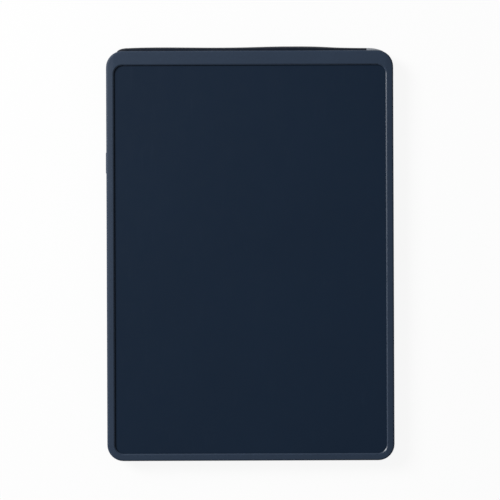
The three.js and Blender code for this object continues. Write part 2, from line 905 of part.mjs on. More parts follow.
// The slider rests at the low end of its travel.
function lockSlider() {
  const y = lockY - lockTravel / 2;
  const low = rearFace + lockSink - lockSeat - knobThickness;
  const knob = slab({ width: knobWidth, length: knobLength, radius: knobRadius, x: lockX, y }, [
    [knobEdge, low],
    [0, low + knobEdge],
    [0, low + knobThickness],
  ]);
  const ribs = Array.from({ length: knobRibs }, (_, i) => {
    const start = y + (i - (knobRibs - 1) / 2) * knobRibPitch - knobRibWidth / 2;
    return box(
      [lockX - knobRibLength / 2, start, low - knobRibHeight],
      [lockX + knobRibLength / 2, start + knobRibWidth, low + knobThickness / 2],
    );
  });
  const stem = box(
    [lockX - stemWidth / 2, y - stemLength / 2, low + knobThickness / 2],
    [lockX + stemWidth / 2, y + stemLength / 2, floorTop + stemProud],
  );
  return joined([knob, stem, ...ribs]);
}

function lockKeeper() {
  const y = lockY - lockTravel / 2;
  return slab({ width: keeperWidth, length: keeperLength, radius: keeperRadius, x: lockX, y }, [
    [0, keeperUnder],
    [0, keeperUnder + keeperThickness],
  ]);
}

function lockWiper() {
  const low = keeperUnder + keeperThickness + stackGap + wiperSheet / 2;
  const high = boardUnder - wiperGap - wiperSheet / 2;
  const start = -wiperLength / 2;
  const spring = strip(
    [
      [start, low],
      [start + wiperBase, low],
      [-start - wiperTip, high],
      [-start, high],
    ],
    wiperSheet,
    wiperWidth,
  );
  return spring.rotate([0, 0, 90]).translate(lockX, lockY - lockTravel / 2, 0);
}

// A screw stands on its thread's tip side up, with the underside of its head at level 0.
function screw(length) {
  const profile = [
    [0, -length],
    [tipRadius, -length],
    [threadRadius, tipLength - length],
    [threadRadius, 0],
    [headRadius, 0],
    [headRadius, headHeight - headDome],
    [headRadius - headEdge, headHeight],
    [0, headHeight],
  ];
  const cross = [
    [driveReach, driveHalfWidth],
    [driveHalfWidth, driveReach],
  ].map(([x, y]) => box([-x, -y, headHeight - driveDepth], [x, y, headHeight + past]));
  return turned(profile, smallSides).subtract(joined(cross));
}

function foot() {
  const top = footProud + footSeat - footGlue;
  const profile = [
    [0, 0],
    [footRadius - footEdge, 0],
    [footRadius - footDraft, footDraft],
    [footRadius, footEdge],
    [footRadius, top],
    [0, top],
  ];
  return turned(profile, midSides);
}

// Stylus pieces lie along X, from the end cap's tip at 0.

function alongX(profile) {
  const line = profile.map(([along, radius]) => new THREE.Vector2(radius, along));
  return solidOf(new THREE.LatheGeometry(line, stylusSides).rotateZ(-Math.PI / 2));
}

function stylusBarrel() {
  const start = endCapLength;
  const end = endCapLength + barrelLength;
  const skin = new THREE.SplineCurve(
    [
      [0, capRadius],
      [rearShare, rearRadius],
      [waistShare, waistRadius],
      [gripShare, gripRadius],
      [neckShare, neckRadius],
      [1, shoulderRadius],
    ].map(([share, radius]) => new THREE.Vector2(start + barrelLength * share, radius)),
  );
  const outside = skin.getPoints(skinSteps).map((point) => [point.x, point.y]);
  return alongX([[start, barrelBore], ...outside, [end, barrelBore], [start, barrelBore]]);
}

function stylusEndCap() {
  const end = endCapLength - stylusJoint;
  const nose = Array.from({ length: capSteps + 1 }, (_, step) => {
    const share = step / capSteps;
    return [end * share ** 2, capRadius * share];
  });
  const shank = barrelBore - shankClearance;
  return alongX([
    ...nose,
    [end, shank],
    [endCapLength + shankLength, shank],
    [endCapLength + shankLength, 0],
  ]);
}

function stylusCore() {
  const radius = barrelBore - 2 * shankClearance;
  const low = endCapLength + shankLength + coreGap;
  const high = endCapLength + barrelLength - shankLength - coreGap;
  return alongX([
    [low, 0],
    [low, radius],
    [high, radius],
    [high, 0],
  ]);
}

function stylusNib() {
  const shank = barrelBore - shankClearance;
  const base = endCapLength + barrelLength;
  const tip = base + nibLength;
  const round = Array.from({ length: roundSteps + 1 }, (_, step) => {
    const angle = ((step / roundSteps) * Math.PI) / 2;
    return [tip - nibTipRadius * (1 - Math.sin(angle)), nibTipRadius * Math.cos(angle)];
  });
  return alongX([
    [base - shankLength, 0],
    [base - shankLength, shank],
    [base + stylusJoint, shank],
    [base + stylusJoint, shoulderRadius - nibStep],
    [base + nibShoulder, shoulderRadius - nibTaper],
    ...round,
  ]);
}

function magnet() {
  return box([-magnetLength / 2, 0, -magnetHeight / 2], [magnetLength / 2, magnetDepth, magnetHeight / 2]);
}

// Materials

function finish(color, roughness, metalness = 0) {
  return new THREE.MeshStandardMaterial({ color, roughness, metalness });
}

const slatePlastic = finish(0x33404f, 0.55);
const filmSurface = finish(0x1c2838, 0.25);
const blackPlastic = finish(0x14161a, 0.6);
const tapeBlack = finish(0x0d0e10, 0.7);
const navyPlastic = finish(0x141b27, 0.4);
const nibPlastic = finish(0xb4b8bd, 0.35);
const rubber = finish(0x1a1c20, 0.9);
const steel = finish(0xa7a9ac, 0.35, 1);
const boardGreen = finish(0x1d4a32, 0.5);
const keyPlastic = finish(0x4a5563, 0.5);
const goldSheet = finish(0xc2a45a, 0.3, 1);
const tailAmber = finish(0x9a6a24, 0.4);

// Assembly

const tablet = new THREE.Group();

function place(parent, name, solid, material, x = 0, y = 0, z = 0) {
  const mesh = new THREE.Mesh(geometryOf(solid), material);
  mesh.name = name;
  mesh.position.set(x, y, z);
  parent.add(mesh);
  return mesh;
}

place(tablet, "front_frame", frontFrame(), slatePlastic);
place(tablet, "rear_cover", rearCover(), slatePlastic);
place(tablet, "backing_plate", backingPlate(), blackPlastic);
place(tablet, "writing_film", writingFilm(), filmSurface);
place(tablet, "film_tape", filmTape(), tapeBlack);
place(tablet, "film_flex_tail", flexTail(), tailAmber, boardX, 0, 0);

const board = new THREE.Group();
board.position.set(boardX, boardY, boardTop);
tablet.add(board);
place(board, "main_board", mainBoard(), boardGreen);
place(board, "erase_switch", eraseSwitch(), blackPlastic);
place(board, "driver_chip", chip(), blackPlastic, ...chipPlace);
place(board, "boost_inductor", inductor(), blackPlastic, ...coilPlace);
capacitorPlaces.forEach((at, i) => place(board, "capacitor_" + (i + 1), capacitor(), boardGreen, ...at));
place(board, "flex_connector", flexConnector(), blackPlastic, 0, connectorY, 0);
const bay = new THREE.Group();
bay.position.set(bayX - boardX, bayY - boardY, 0);
board.add(bay);
const negative = place(bay, "cell_contact_negative", cellContactNegative(), goldSheet);
negative.rotation.z = Math.PI;
const positive = place(bay, "cell_contact_positive", cellContactPositive(), goldSheet);
positive.rotation.z = THREE.MathUtils.degToRad(contactTurn);
boardScrewPlaces.forEach(([x, y], i) =>
  place(board, "board_screw_" + (i + 1), screw(boardScrewLength), steel, x, y, stackGap),
);

place(tablet, "coin_cell", coinCell(), steel, bayX, bayY, 0);
place(tablet, "battery_cap", batteryCap(), slatePlastic, bayX, bayY, 0);
place(tablet, "erase_key", eraseKey(), keyPlastic);
place(tablet, "erase_switch_plunger", switchPlunger(), tapeBlack);
place(tablet, "lock_slider", lockSlider(), keyPlastic);
place(tablet, "lock_keeper", lockKeeper(), blackPlastic);
place(tablet, "lock_wiper", lockWiper(), goldSheet);

screwPlaces.forEach(([x, y], i) => {
  const name = "case_screw_" + (i + 1);
  const mesh = place(tablet, name, screw(caseScrewLength), steel, x, y, rearFace + screwSink);
  mesh.rotation.x = Math.PI;
});
footPlaces.forEach(([x, y], i) => place(tablet, "foot_" + (i + 1), foot(), rubber, x, y, 0));

place(tablet, "dock_magnet_left", magnet(), steel, -magnetSpread, dockInner - magnetDepth, stylusZ);
place(tablet, "dock_magnet_right", magnet(), steel, magnetSpread, dockInner - magnetDepth, stylusZ);

const stylus = new THREE.Group();
stylus.position.set(stylusShift - stylusLength / 2, stylusY, stylusZ);
tablet.add(stylus);
place(stylus, "stylus_barrel", stylusBarrel(), navyPlastic);
place(stylus, "stylus_end_cap", stylusEndCap(), rubber);
place(stylus, "stylus_core", stylusCore(), steel);
place(stylus, "stylus_nib", stylusNib(), nibPlastic);

export default tablet;
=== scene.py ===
import math

import bmesh
import bpy
from mathutils import Matrix, Vector


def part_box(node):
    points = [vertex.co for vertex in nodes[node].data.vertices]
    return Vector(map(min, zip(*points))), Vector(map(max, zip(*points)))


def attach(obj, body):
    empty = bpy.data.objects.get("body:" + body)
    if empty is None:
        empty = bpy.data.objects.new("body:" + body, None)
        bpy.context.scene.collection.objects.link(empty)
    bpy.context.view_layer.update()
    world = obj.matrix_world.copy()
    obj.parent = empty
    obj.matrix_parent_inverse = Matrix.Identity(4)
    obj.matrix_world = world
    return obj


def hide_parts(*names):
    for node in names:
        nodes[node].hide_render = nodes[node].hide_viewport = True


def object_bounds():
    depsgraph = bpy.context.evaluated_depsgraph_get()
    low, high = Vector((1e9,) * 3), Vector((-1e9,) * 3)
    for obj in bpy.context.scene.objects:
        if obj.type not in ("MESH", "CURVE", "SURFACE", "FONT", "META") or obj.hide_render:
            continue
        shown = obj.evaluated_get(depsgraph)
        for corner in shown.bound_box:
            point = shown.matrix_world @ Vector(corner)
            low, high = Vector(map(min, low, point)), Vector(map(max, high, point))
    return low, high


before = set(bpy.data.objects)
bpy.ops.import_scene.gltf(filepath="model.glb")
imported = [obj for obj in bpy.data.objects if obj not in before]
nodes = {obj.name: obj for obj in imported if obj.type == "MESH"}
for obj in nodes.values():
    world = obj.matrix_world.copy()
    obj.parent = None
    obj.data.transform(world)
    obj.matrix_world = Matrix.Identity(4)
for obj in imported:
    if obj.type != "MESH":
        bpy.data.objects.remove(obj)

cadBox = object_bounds()
mm = 0.001
print("stage: frame loaded,", len(nodes), "solids")


def middle(node):
    low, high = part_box(node)
    return (low + high) / 2


def lowest(node):  # the middle of its underside
    at = middle(node)
    return Vector((at.x, at.y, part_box(node)[0].z))


def highest(node):
    at = middle(node)
    return Vector((at.x, at.y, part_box(node)[1].z))


# the camera stands over the tablet, which lies on its feet
viewSettings = {
    "lens": 100,
    "sensor": 36,
    "clipStart": 0.01,
    "frameWidth": 271.4 * mm,  # what the picture takes in, at the height of the frame's face
    "faceHeight": 9 * mm,
    "aimX": -0.13 * mm,
    "aimY": 3.07 * mm,
    "roll": -0.21,  # degrees
}


def makeCamera(s):
    camera = bpy.data.cameras.new("camera")
    camera.lens = s["lens"]
    camera.sensor_width = s["sensor"]
    camera.clip_start = s["clipStart"]
    eye = bpy.data.objects.new("camera", camera)
    distance = s["frameWidth"] * s["lens"] / s["sensor"]
    eye.location = (s["aimX"], s["aimY"], s["faceHeight"] + distance)
    eye.rotation_euler = (0, 0, math.radians(s["roll"]))
    bpy.context.scene.collection.objects.link(eye)
    bpy.context.scene.camera = eye


makeCamera(viewSettings)


# one socket of a node tree, with maths
class Wire:
    def __init__(self, tree, socket=None):
        self.tree = tree
        self.socket = socket

    def node(self, kind, settings=None, inputs=None, output=0):
        made = self.tree.nodes.new(kind)
        for key, value in (settings or {}).items():
            if key == "curve":  # pairs of 0 to 1 and what comes out there
                line = made.mapping.curves[0]
                while len(line.points) < len(value):
                    line.points.new(0.5, 0.5)
                for point, (at, level) in zip(line.points, value):
                    point.location = (at, level)
                made.mapping.update()
            else:
                setattr(made, key, value)
        for key, value in (inputs or {}).items():
            for one in value if isinstance(value, list) else [value]:
                if isinstance(one, Wire):
                    self.tree.links.new(one.socket, made.inputs[key])
                else:
                    made.inputs[key].default_value = one
        return Wire(self.tree, made.outputs[output])

    def maths(self, operation, first, second=0.0):
        return self.node("ShaderNodeMath", {"operation": operation}, {0: first, 1: second})

    def __add__(self, other):
        return self.maths("ADD", self, other)

    def __radd__(self, other):
        return self.maths("ADD", other, self)

    def __sub__(self, other):
        return self.maths("SUBTRACT", self, other)

    def __rsub__(self, other):
        return self.maths("SUBTRACT", other, self)

    def __mul__(self, other):
        return self.maths("MULTIPLY", self, other)

    def __truediv__(self, other):
        return self.maths("DIVIDE", self, other)

    def __neg__(self):
        return self.maths("SUBTRACT", 0.0, self)

    def __abs__(self):
        return self.maths("ABSOLUTE", self)

    def root(self):
        return self.maths("SQRT", self)

    def above(self, level):
        return self.maths("GREATER_THAN", self, level)

    def atLeast(self, level):
        return self.maths("MAXIMUM", self, level)

    def atMost(self, level):
        return self.maths("MINIMUM", self, level)

    def pingPong(self, span):  # up to the span and back to 0, over and over
        return self.maths("PINGPONG", self, span)

    def clamped(self):
        return self.node("ShaderNodeClamp", {}, {0: self})


def srgb(r, g, b):  # 0 to 255 as a screen shows it, to the linear colour that a shader takes
    def linear(c):
        c = c / 255
        return c / 12.92 if c <= 0.04045 else ((c + 0.055) / 1.055) ** 2.4

    return (linear(r), linear(g), linear(b), 1)


def shade(color, by):
    return tuple(min(c * by, 1) for c in color[:3]) + (1,)


shaderSockets = {
    "color": "Base Color",
    "roughness": "Roughness",
    "metallic": "Metallic",
    "normal": "Normal",
    "coat": "Coat Weight",
    "coatRoughness": "Coat Roughness",
    "gloss": "Specular IOR Level",
}


# a material, its surface shader and the patterns that feed it, with sizes in millimetres
class Finish:
    def __init__(self, name, **steady):
        self.material = bpy.data.materials.new(name)
        self.material.use_nodes = True
        self.tree = self.material.node_tree
        self.shader = self.tree.nodes["Principled BSDF"]
        for key, value in steady.items():
            self.shader.inputs[shaderSockets[key]].default_value = value
        self.start = Wire(self.tree)
        self.place = self.start.node("ShaderNodeTexCoord", output="Object")

    def noise(self, size, detail=2.0, rough=0.5, stretch=(1, 1, 1)):
        scale = tuple(1 / (size * mm) * k for k in stretch)
        scaled = self.start.node("ShaderNodeMapping", {}, {0: self.place, 3: scale})
        return self.start.node(
            "ShaderNodeTexNoise",
            {},
            {"Vector": scaled, "Scale": 1.0, "Detail": detail, "Roughness": rough},
        )

    def axis(self, letter):
        number = "XYZ".index(letter)
        return self.start.node("ShaderNodeSeparateXYZ", {}, {0: self.place}, number) * (1 / mm)

    def past(self, node, letter):  # how far outside the sides of a solid, less than 0 within them
        low, high = (getattr(corner, letter.lower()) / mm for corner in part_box(node))
        return abs(self.axis(letter) - (low + high) / 2) - (high - low) / 2

    def rise(self, value, low, high):  # 0 below low, 1 above high
        return self.start.node(
            "ShaderNodeMapRange",
            {"interpolation_type": "SMOOTHSTEP"},
            {0: value, 1: low, 2: high, 3: 0.0, 4: 1.0},
        )

    def fall(self, value, low, high):  # 1 below low, 0 above high
        return 1 - self.rise(value, low, high)

    def inside(self, node, fade):  # 1 over a solid, seen from above, fading to 0 at its sides
        low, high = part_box(node)
        within = 1
        for axis in "xy":
            at = self.axis(axis.upper())
            start, end = getattr(low, axis) / mm, getattr(high, axis) / mm
            within = self.rise(at, start, start + fade) * self.fall(at, end - fade, end) * within
        return within

    def mix(self, mask, first, second):
        return self.start.node(
            "ShaderNodeMix", {"data_type": "RGBA"}, {0: mask, 6: first, 7: second}, output=2
        )

    def tones(self, mask, color, shades):  # one colour, from its first shade to its second
        return self.mix(mask, shade(color, shades[0]), shade(color, shades[1]))

    def rounded(self, width):
        return self.start.node("ShaderNodeBevel", {"samples": 4}, {"Radius": width * mm})

    def edges(self, width, gain=6):  # near 1 on convex edges of the piece
        flat = self.start.node("ShaderNodeNewGeometry", output="Normal")
        dot = self.start.node(
            "ShaderNodeVectorMath",
            {"operation": "DOT_PRODUCT"},
            {0: self.rounded(width), 1: flat},
            output="Value",
        )
        return ((1 - dot) * gain).clamped()

    def bump(self, height, depth, strength=1.0, under=None):
        inputs = {"Height": height, "Distance": depth * mm, "Strength": strength}
        if under is not None:
            inputs["Normal"] = under
        return self.start.node("ShaderNodeBump", {}, inputs)

    def feed(self, **varied):
        for key, wire in varied.items():
            self.tree.links.new(wire.socket, self.shader.inputs[shaderSockets[key]])
        return self.material


print("stage: materials")

mouldedSettings = {
    "case": srgb(42, 56, 75),
    "key": srgb(48, 60, 77),
    "dark": srgb(24, 26, 29),
    "gloss": 0.25,
    "grainSize": 0.42,
    "grainDepth": 0.02,
    "grainBump": 0.8,
    "grainRoughness": 0.16,  # how far the grain changes the roughness
    "cloudSize": 26,
    "cloudShades": (0.93, 1.07),
    "cloudRoughness": 0.06,
    "speckSize": 0.55,
    "speckLevels": (0.56, 0.68),  # of the noise, from no speck to a full one
    "speckShare": 0.22,
    "speckShade": 1.5,
    "edgeWidth": 0.35,
    "edgeShade": 1.7,
    "edgePolish": 0.1,
    "rounding": 0.12,
    "lipPolish": 0.65,  # where sleeves and the pen rub the edge of the window
    "lipRoughness": 0.3,
    "lipSmoothed": 0.8,  # how much of the grain is worn off there
    "lipDepths": (0.1, 0.02),  # under the frame's face, where the worn part ends
    "lipFade": 0.3,
    "railFrom": 73.6,  # from the middle, where the long sides start to fall away
    "railFall": 0.1,
}


def mouldedPlastic(name, color, roughness=0.52, grain=1.0, wear=0.35, rubbed=None):
    s = mouldedSettings
    f = Finish(name, gloss=s["gloss"], coatRoughness=s["lipRoughness"])
    fine = f.noise(s["grainSize"], detail=3, rough=0.6)
    cloud = f.noise(s["cloudSize"])
    speck = f.rise(f.noise(s["speckSize"], detail=1.5), *s["speckLevels"])
    edge = f.edges(s["edgeWidth"])
    base = f.tones(cloud, color, s["cloudShades"])
    spotted = f.mix(speck * s["speckShare"], base, shade(color, s["speckShade"]))
    worn = f.mix(edge * wear, spotted, shade(color, s["edgeShade"]))
    rough = roughness + (fine - 0.5) * s["grainRoughness"] + (cloud - 0.5) * s["cloudRoughness"]
    under, pitted = f.rounded(s["rounding"]), fine
    if rubbed:
        deep, shallow = [cadBox[1].z / mm - depth for depth in s["lipDepths"]]
        lip = f.fall(f.axis("Z"), deep, shallow) * f.inside(rubbed, s["lipFade"])
        f.feed(coat=lip * s["lipPolish"])
        pitted = fine * (1 - lip * s["lipSmoothed"])
        beyond = (abs(f.axis("X")) - s["railFrom"]).atLeast(0.0)
        under = f.bump(-(beyond * beyond / (beyond + 1)), s["railFall"], 1.0, under)
    return f.feed(
        color=worn,
        roughness=rough - edge * s["edgePolish"],
        normal=f.bump(pitted, s["grainDepth"] * grain, s["grainBump"], under),
    )


filmSettings = {
    "color": srgb(20, 36, 55),
    "roughness": 0.42,
    "gloss": 0.2,
    "cloudSize": 60,
    "cloudShades": (0.94, 1.06),
    "cloudDepth": 0.05,
    "cloudBump": 0.35,
    "veilSize": 9,
    "veilRoughness": 0.08,
    "strokeSize": 1.1,  # faint traces of old strokes
    "strokeStretch": (1, 0.05, 1),
    "strokeLevels": (0.62, 0.75),
    "strokeShare": 0.1,
    "strokeShade": 1.5,
    "strokeRoughness": 0.04,
}


def filmFinish(name, s):
    f = Finish(name, gloss=s["gloss"])
    cloud = f.noise(s["cloudSize"])
    veil = f.noise(s["veilSize"], detail=3)
    stroke = f.rise(f.noise(s["strokeSize"], stretch=s["strokeStretch"]), *s["strokeLevels"])
    base = f.tones(cloud, s["color"], s["cloudShades"])
    marked = f.mix(stroke * s["strokeShare"], base, shade(s["color"], s["strokeShade"]))
    rough = s["roughness"] + (veil - 0.5) * s["veilRoughness"] + stroke * s["strokeRoughness"]
    uneven = f.bump(cloud, s["cloudDepth"], s["cloudBump"])
    return f.feed(color=marked, roughness=rough, normal=uneven)


steelSettings = {
    "screw": srgb(186, 188, 190),
    "screwRoughness": 0.32,
    "nickel": srgb(196, 194, 190),
    "nickelRoughness": 0.2,
    "grainSize": 0.5,
    "grainDepth": 0.006,
    "grainBump": 0.6,
    "dullSize": 2.5,
    "dullShades": (0.8, 1.1),
    "dullRoughness": 0.25,
    "rounding": 0.06,
}


def platedSteel(name, kind):
    s = steelSettings
    f = Finish(name, metallic=1.0)
    grain = f.noise(s["grainSize"], detail=3, rough=0.6)
    dull = f.noise(s["dullSize"], detail=3)
    rough = s[kind + "Roughness"] + (dull - 0.5) * s["dullRoughness"]
    pitted = f.bump(grain, s["grainDepth"], s["grainBump"], f.rounded(s["rounding"]))
    return f.feed(color=f.tones(dull, s[kind], s["dullShades"]), roughness=rough, normal=pitted)


cellSettings = {
    "color": srgb(200, 202, 204),
    "shades": (0.84, 1.06),
    "roughness": 0.24,
    "ringsToMm": 5.0,
    "ringRoughness": 0.12,
    "ringDepth": 0.005,
    "ringBump": 0.6,
    "cloudSize": 7,
    "cloudRoughness": 0.08,
    "scuffSize": 0.9,
    "scuffStretch": (1, 0.08, 1),
    "scuffLevels": (0.66, 0.74),
    "scuffRoughness": 0.12,
    "rounding": 0.1,
}


def cellFinish(name, node, s):  # turned steel, with rings round its middle and a few scuffs
    f = Finish(name, metallic=1.0)
    centre = middle(node) / mm
    x, y = f.axis("X") - centre.x, f.axis("Y") - centre.y
    rings = f.start.node(
        "ShaderNodeTexNoise",
        {"noise_dimensions": "1D"},
        {"W": (x * x + y * y).root(), "Scale": s["ringsToMm"], "Detail": 3.0},
    )
    cloud = f.noise(s["cloudSize"])
    scuff = f.rise(f.noise(s["scuffSize"], stretch=s["scuffStretch"]), *s["scuffLevels"])
    rough = s["roughness"] + rings * s["ringRoughness"]
    rough = rough + (cloud - 0.5) * s["cloudRoughness"] + scuff * s["scuffRoughness"]
    turned = f.bump(rings, s["ringDepth"], s["ringBump"], f.rounded(s["rounding"]))
    return f.feed(color=f.tones(rings, s["color"], s["shades"]), roughness=rough, normal=turned)


rubberSettings = {
    "color": srgb(34, 36, 40),
    "roughness": 0.86,
    "gloss": 0.35,
    "poreSize": 0.35,
    "poreDepth": 0.03,
    "poreBump": 0.8,
    "poreRoughness": 0.12,
    "dustSize": 3.2,
    "dustLevels": (0.5, 0.75),
    "dustShare": 0.35,
    "dustShade": 1.9,
    "rounding": 0.1,
}


def rubberFinish(name, s):
    f = Finish(name, gloss=s["gloss"])
    pore = f.noise(s["poreSize"], detail=4, rough=0.65)
    dust = f.rise(f.noise(s["dustSize"], detail=3), *s["dustLevels"])
    tone = f.mix(dust * s["dustShare"], s["color"], shade(s["color"], s["dustShade"]))
    pitted = f.bump(pore, s["poreDepth"], s["poreBump"], f.rounded(s["rounding"]))
    return f.feed(color=tone, roughness=s["roughness"] - pore * s["poreRoughness"], normal=pitted)


boardSettings = {
    "green": srgb(24, 76, 50),
    "overCopper": 1.55,  # how much lighter the lacquer looks over copper
    "gold": srgb(196, 160, 88),
    # painted shade: near black in the middle of each via, where its bore would lie in shade
    "paintedBoreShade": srgb(20, 24, 22),
    "ink": srgb(206, 210, 204),
    "roughness": 0.42,
    "padPolish": 0.15,
    "inkRoughness": 0.2,
    "weaveSize": 0.6,
    "weaveStretch": (1, 3, 1),
    "weaveRoughness": 0.1,
    "copperDepth": 0.03,
    "copperBump": 0.5,
    "blockSize": 9.0,  # each block has tracks up, tracks across or a plain sheet of copper
    "blockSpread": 0.8,
    "blockBorder": (0.03, 0.05),  # shares of a block
    "uprightFrom": 0.42,
    "sheetFrom": 0.62,
    "trackPitch": 0.9,
    "trackEdge": (0.16, 0.2),
    "jog": 2.0,  # how far tracks step aside, at 45 degrees
    "jogEvery": 7.0,
    "viaSpacing": 3.2,
    "viaSpread": 0.5,
    "viaKept": 0.5,
    "viaPad": (0.1, 0.12),  # shares of the spacing
    # how far the painted shade of each via's bore reaches, as shares of the spacing
    "viaBoreShade": (0.04, 0.05),
    "inkGap": 0.55,  # from a part to its printed outline
    "inkLine": (0.09, 0.135),
    "outlined": (
        "driver_chip",
        "boost_inductor",
        "capacitor_1",
        "capacitor_2",
        "capacitor_3",
        "flex_connector",
    ),
}


def boardLacquer(name, s):
    f = Finish(name)
    x, y = f.axis("X"), f.axis("Y")

    def cells(size, output, spread, **settings):
        kind = dict(settings, voronoi_dimensions="2D")
        sizes = {"Vector": f.place, "Scale": 1 / (size * mm), "Randomness": spread}
        return f.start.node("ShaderNodeTexVoronoi", kind, sizes, output)

    def blocks(output, **settings):
        return cells(s["blockSize"], output, s["blockSpread"], distance="CHEBYCHEV", **settings)

    def tracks(across, along):  # side by side, with a jog now and then
        aside = (along.pingPong(s["jogEvery"]) - s["jogEvery"] / 3).atLeast(0.0).atMost(s["jog"])
        return f.fall((across + aside).pingPong(s["trackPitch"] / 2), *s["trackEdge"])

    choice = blocks("Color")  # a grey level for each block
    upright, sheet = choice.above(s["uprightFrom"]), choice.above(s["sheetFrom"])
    copper = (tracks(x, y) * upright + tracks(y, x) * (1 - upright)).atLeast(sheet)
    border = blocks("Distance", feature="F2") - blocks("Distance")
    copper = copper * f.rise(border, *s["blockBorder"])
    tone = f.mix(copper, s["green"], shade(s["green"], s["overCopper"]))

    via = cells(s["viaSpacing"], "Distance", s["viaSpread"])
    kept = cells(s["viaSpacing"], "Color", s["viaSpread"]).above(s["viaKept"])
    pad = f.fall(via, *s["viaPad"]) * kept
    # the middle of each kept via is painted near black, painted shade standing for its bore
    paintedBoreShade = f.fall(via, *s["viaBoreShade"]) * kept
    plated = f.mix(paintedBoreShade, f.mix(pad, tone, s["gold"]), s["paintedBoreShade"])

    ink = 0
    for node in s["outlined"]:
        past = f.past(node, "X").atLeast(f.past(node, "Y"))
        ink = f.fall(abs(past - s["inkGap"]), *s["inkLine"]) + ink
    marked = f.mix(ink.clamped(), plated, s["ink"])

    weave = f.noise(s["weaveSize"], stretch=s["weaveStretch"])
    rough = s["roughness"] - pad * s["padPolish"] + ink * s["inkRoughness"]
    return f.feed(
        color=marked,
        roughness=rough + (weave - 0.5) * s["weaveRoughness"],
        normal=f.bump(copper + pad, s["copperDepth"], s["copperBump"]),
    )


chipSettings = {
    "color": srgb(34, 35, 38),
    "shades": (0.8, 1.25),
    "roughness": 0.66,
    "tin": srgb(190, 192, 195),
    "tinPolish": 0.32,
    "tinTop": (4.12, 4.2),  # pins and pads lie in the lowest half millimetre over the board
    "pitSize": 0.18,
    "pitDepth": 0.01,
    "pitBump": 0.7,
    "pitRoughness": 0.08,
    "rounding": 0.08,
}


def mouldedChip(name, s):
    f = Finish(name)
    pit = f.noise(s["pitSize"], detail=4, rough=0.7)
    metal = f.fall(f.axis("Z"), *s["tinTop"])
    return f.feed(
        color=f.mix(metal, f.tones(pit, s["color"], s["shades"]), s["tin"]),
        metallic=metal,
        roughness=s["roughness"] - metal * s["tinPolish"] - pit * s["pitRoughness"],
        normal=f.bump(pit, s["pitDepth"], s["pitBump"], f.rounded(s["rounding"])),
    )


capacitorSettings = {
    "nodes": ("capacitor_1", "capacitor_2", "capacitor_3"),
    "clay": srgb(150, 120, 88),
    "shades": (0.82, 1.12),
    "roughness": 0.42,
    "speckSize": 0.16,
    "speckDepth": 0.01,
    "speckBump": 0.6,
    "speckRoughness": 0.2,
    "tin": srgb(196, 198, 200),
    "tinStart": (-0.45, -0.41),  # from each end
    "tinMetal": 0.9,
    "tinPolish": 0.12,
    "rounding": 0.1,
    "reach": (0.1, 0.2),  # round each capacitor, where its pattern ends
}


def firedBody(name, s):  # baked clay with a tinned end at each side
    f = Finish(name)
    speck = f.noise(s["speckSize"], detail=3)
    tinned = 0
    for node in s["nodes"]:
        pastX, pastY = f.past(node, "X"), f.past(node, "Y")
        near = f.fall(pastX, *s["reach"]) * f.fall(pastY, *s["reach"])
        tinned = near * f.rise(pastX, *s["tinStart"]) + tinned
    return f.feed(
        color=f.mix(tinned, f.tones(speck, s["clay"], s["shades"]), s["tin"]),
        roughness=s["roughness"] + speck * s["speckRoughness"] - tinned * s["tinPolish"],
        metallic=tinned * s["tinMetal"],
        normal=f.bump(speck, s["speckDepth"], s["speckBump"], f.rounded(s["rounding"])),
    )


contactSettings = {
    "gold": srgb(212, 178, 108),
    "shades": (0.85, 1.1),
    "roughness": 0.2,
    "drawnSize": 0.5,
    "drawnStretch": (1, 12, 12),
    "drawnDepth": 0.004,
    "drawnBump": 0.6,
    "drawnRoughness": 0.16,
}


def springSheet(name, s):
    f = Finish(name, metallic=1.0)
    drawn = f.noise(s["drawnSize"], detail=3, stretch=s["drawnStretch"])
    return f.feed(
        color=f.tones(drawn, s["gold"], s["shades"]),
        roughness=s["roughness"] + drawn * s["drawnRoughness"],
        normal=f.bump(drawn, s["drawnDepth"], s["drawnBump"]),
    )


tailSettings = {
    "amber": srgb(176, 118, 48),
    "coat": 0.3,
    "roughness": 0.28,
    "cloudSize": 2,
    "cloudRoughness": 0.1,
    "trackPitch": 1.0,
    "trackEdge": (0.22, 0.3),
    "trackShade": 0.55,
    "trackDepth": 0.02,
    "trackBump": 0.5,
}


def flexAmber(name, s):
    f = Finish(name, coat=s["coat"])
    gap = f.rise(f.axis("X").pingPong(s["trackPitch"] / 2), *s["trackEdge"])
    return f.feed(
        color=f.mix(gap, shade(s["amber"], s["trackShade"]), s["amber"]),
        roughness=s["roughness"] + f.noise(s["cloudSize"]) * s["cloudRoughness"],
        normal=f.bump(gap, s["trackDepth"], s["trackBump"]),
    )


tapeSettings = {
    "dark": srgb(14, 15, 17),
    "light": srgb(32, 33, 36),
    "roughness": 0.62,
    "fibreSize": 0.7,
    "fibreStretch": (1, 6, 1),
    "fibreDepth": 0.01,
    "fibreBump": 0.6,
    "fibreRoughness": 0.2,
}


def tapeFinish(name, s):
    f = Finish(name)
    fibre = f.noise(s["fibreSize"], detail=3, rough=0.6, stretch=s["fibreStretch"])
    return f.feed(
        color=f.mix(fibre, s["dark"], s["light"]),
        roughness=s["roughness"] + fibre * s["fibreRoughness"],
        normal=f.bump(fibre, s["fibreDepth"], s["fibreBump"]),
    )


nibSettings = {
    "pale": srgb(139, 144, 151),
    "shades": (0.9, 1.06),
    "roughness": 0.3,
    "cloudSize": 4,
    "cloudRoughness": 0.12,
    "used": srgb(84, 88, 94),  # the tip, grey from writing
    "usedFrom": (70.8, 72.6),
    "usedShare": 0.5,
    "usedRoughness": 0.2,
    "grainSize": 0.3,
    "grainDepth": 0.006,
    "grainBump": 0.6,
}


def nibPlastic(name, s):
    f = Finish(name)
    cloud = f.noise(s["cloudSize"], detail=3)
    used = f.rise(f.axis("X"), *s["usedFrom"])
    return f.feed(
        color=f.mix(used * s["usedShare"], f.tones(cloud, s["pale"], s["shades"]), s["used"]),
        roughness=s["roughness"] + cloud * s["cloudRoughness"] + used * s["usedRoughness"],
        normal=f.bump(f.noise(s["grainSize"]), s["grainDepth"], s["grainBump"]),
    )


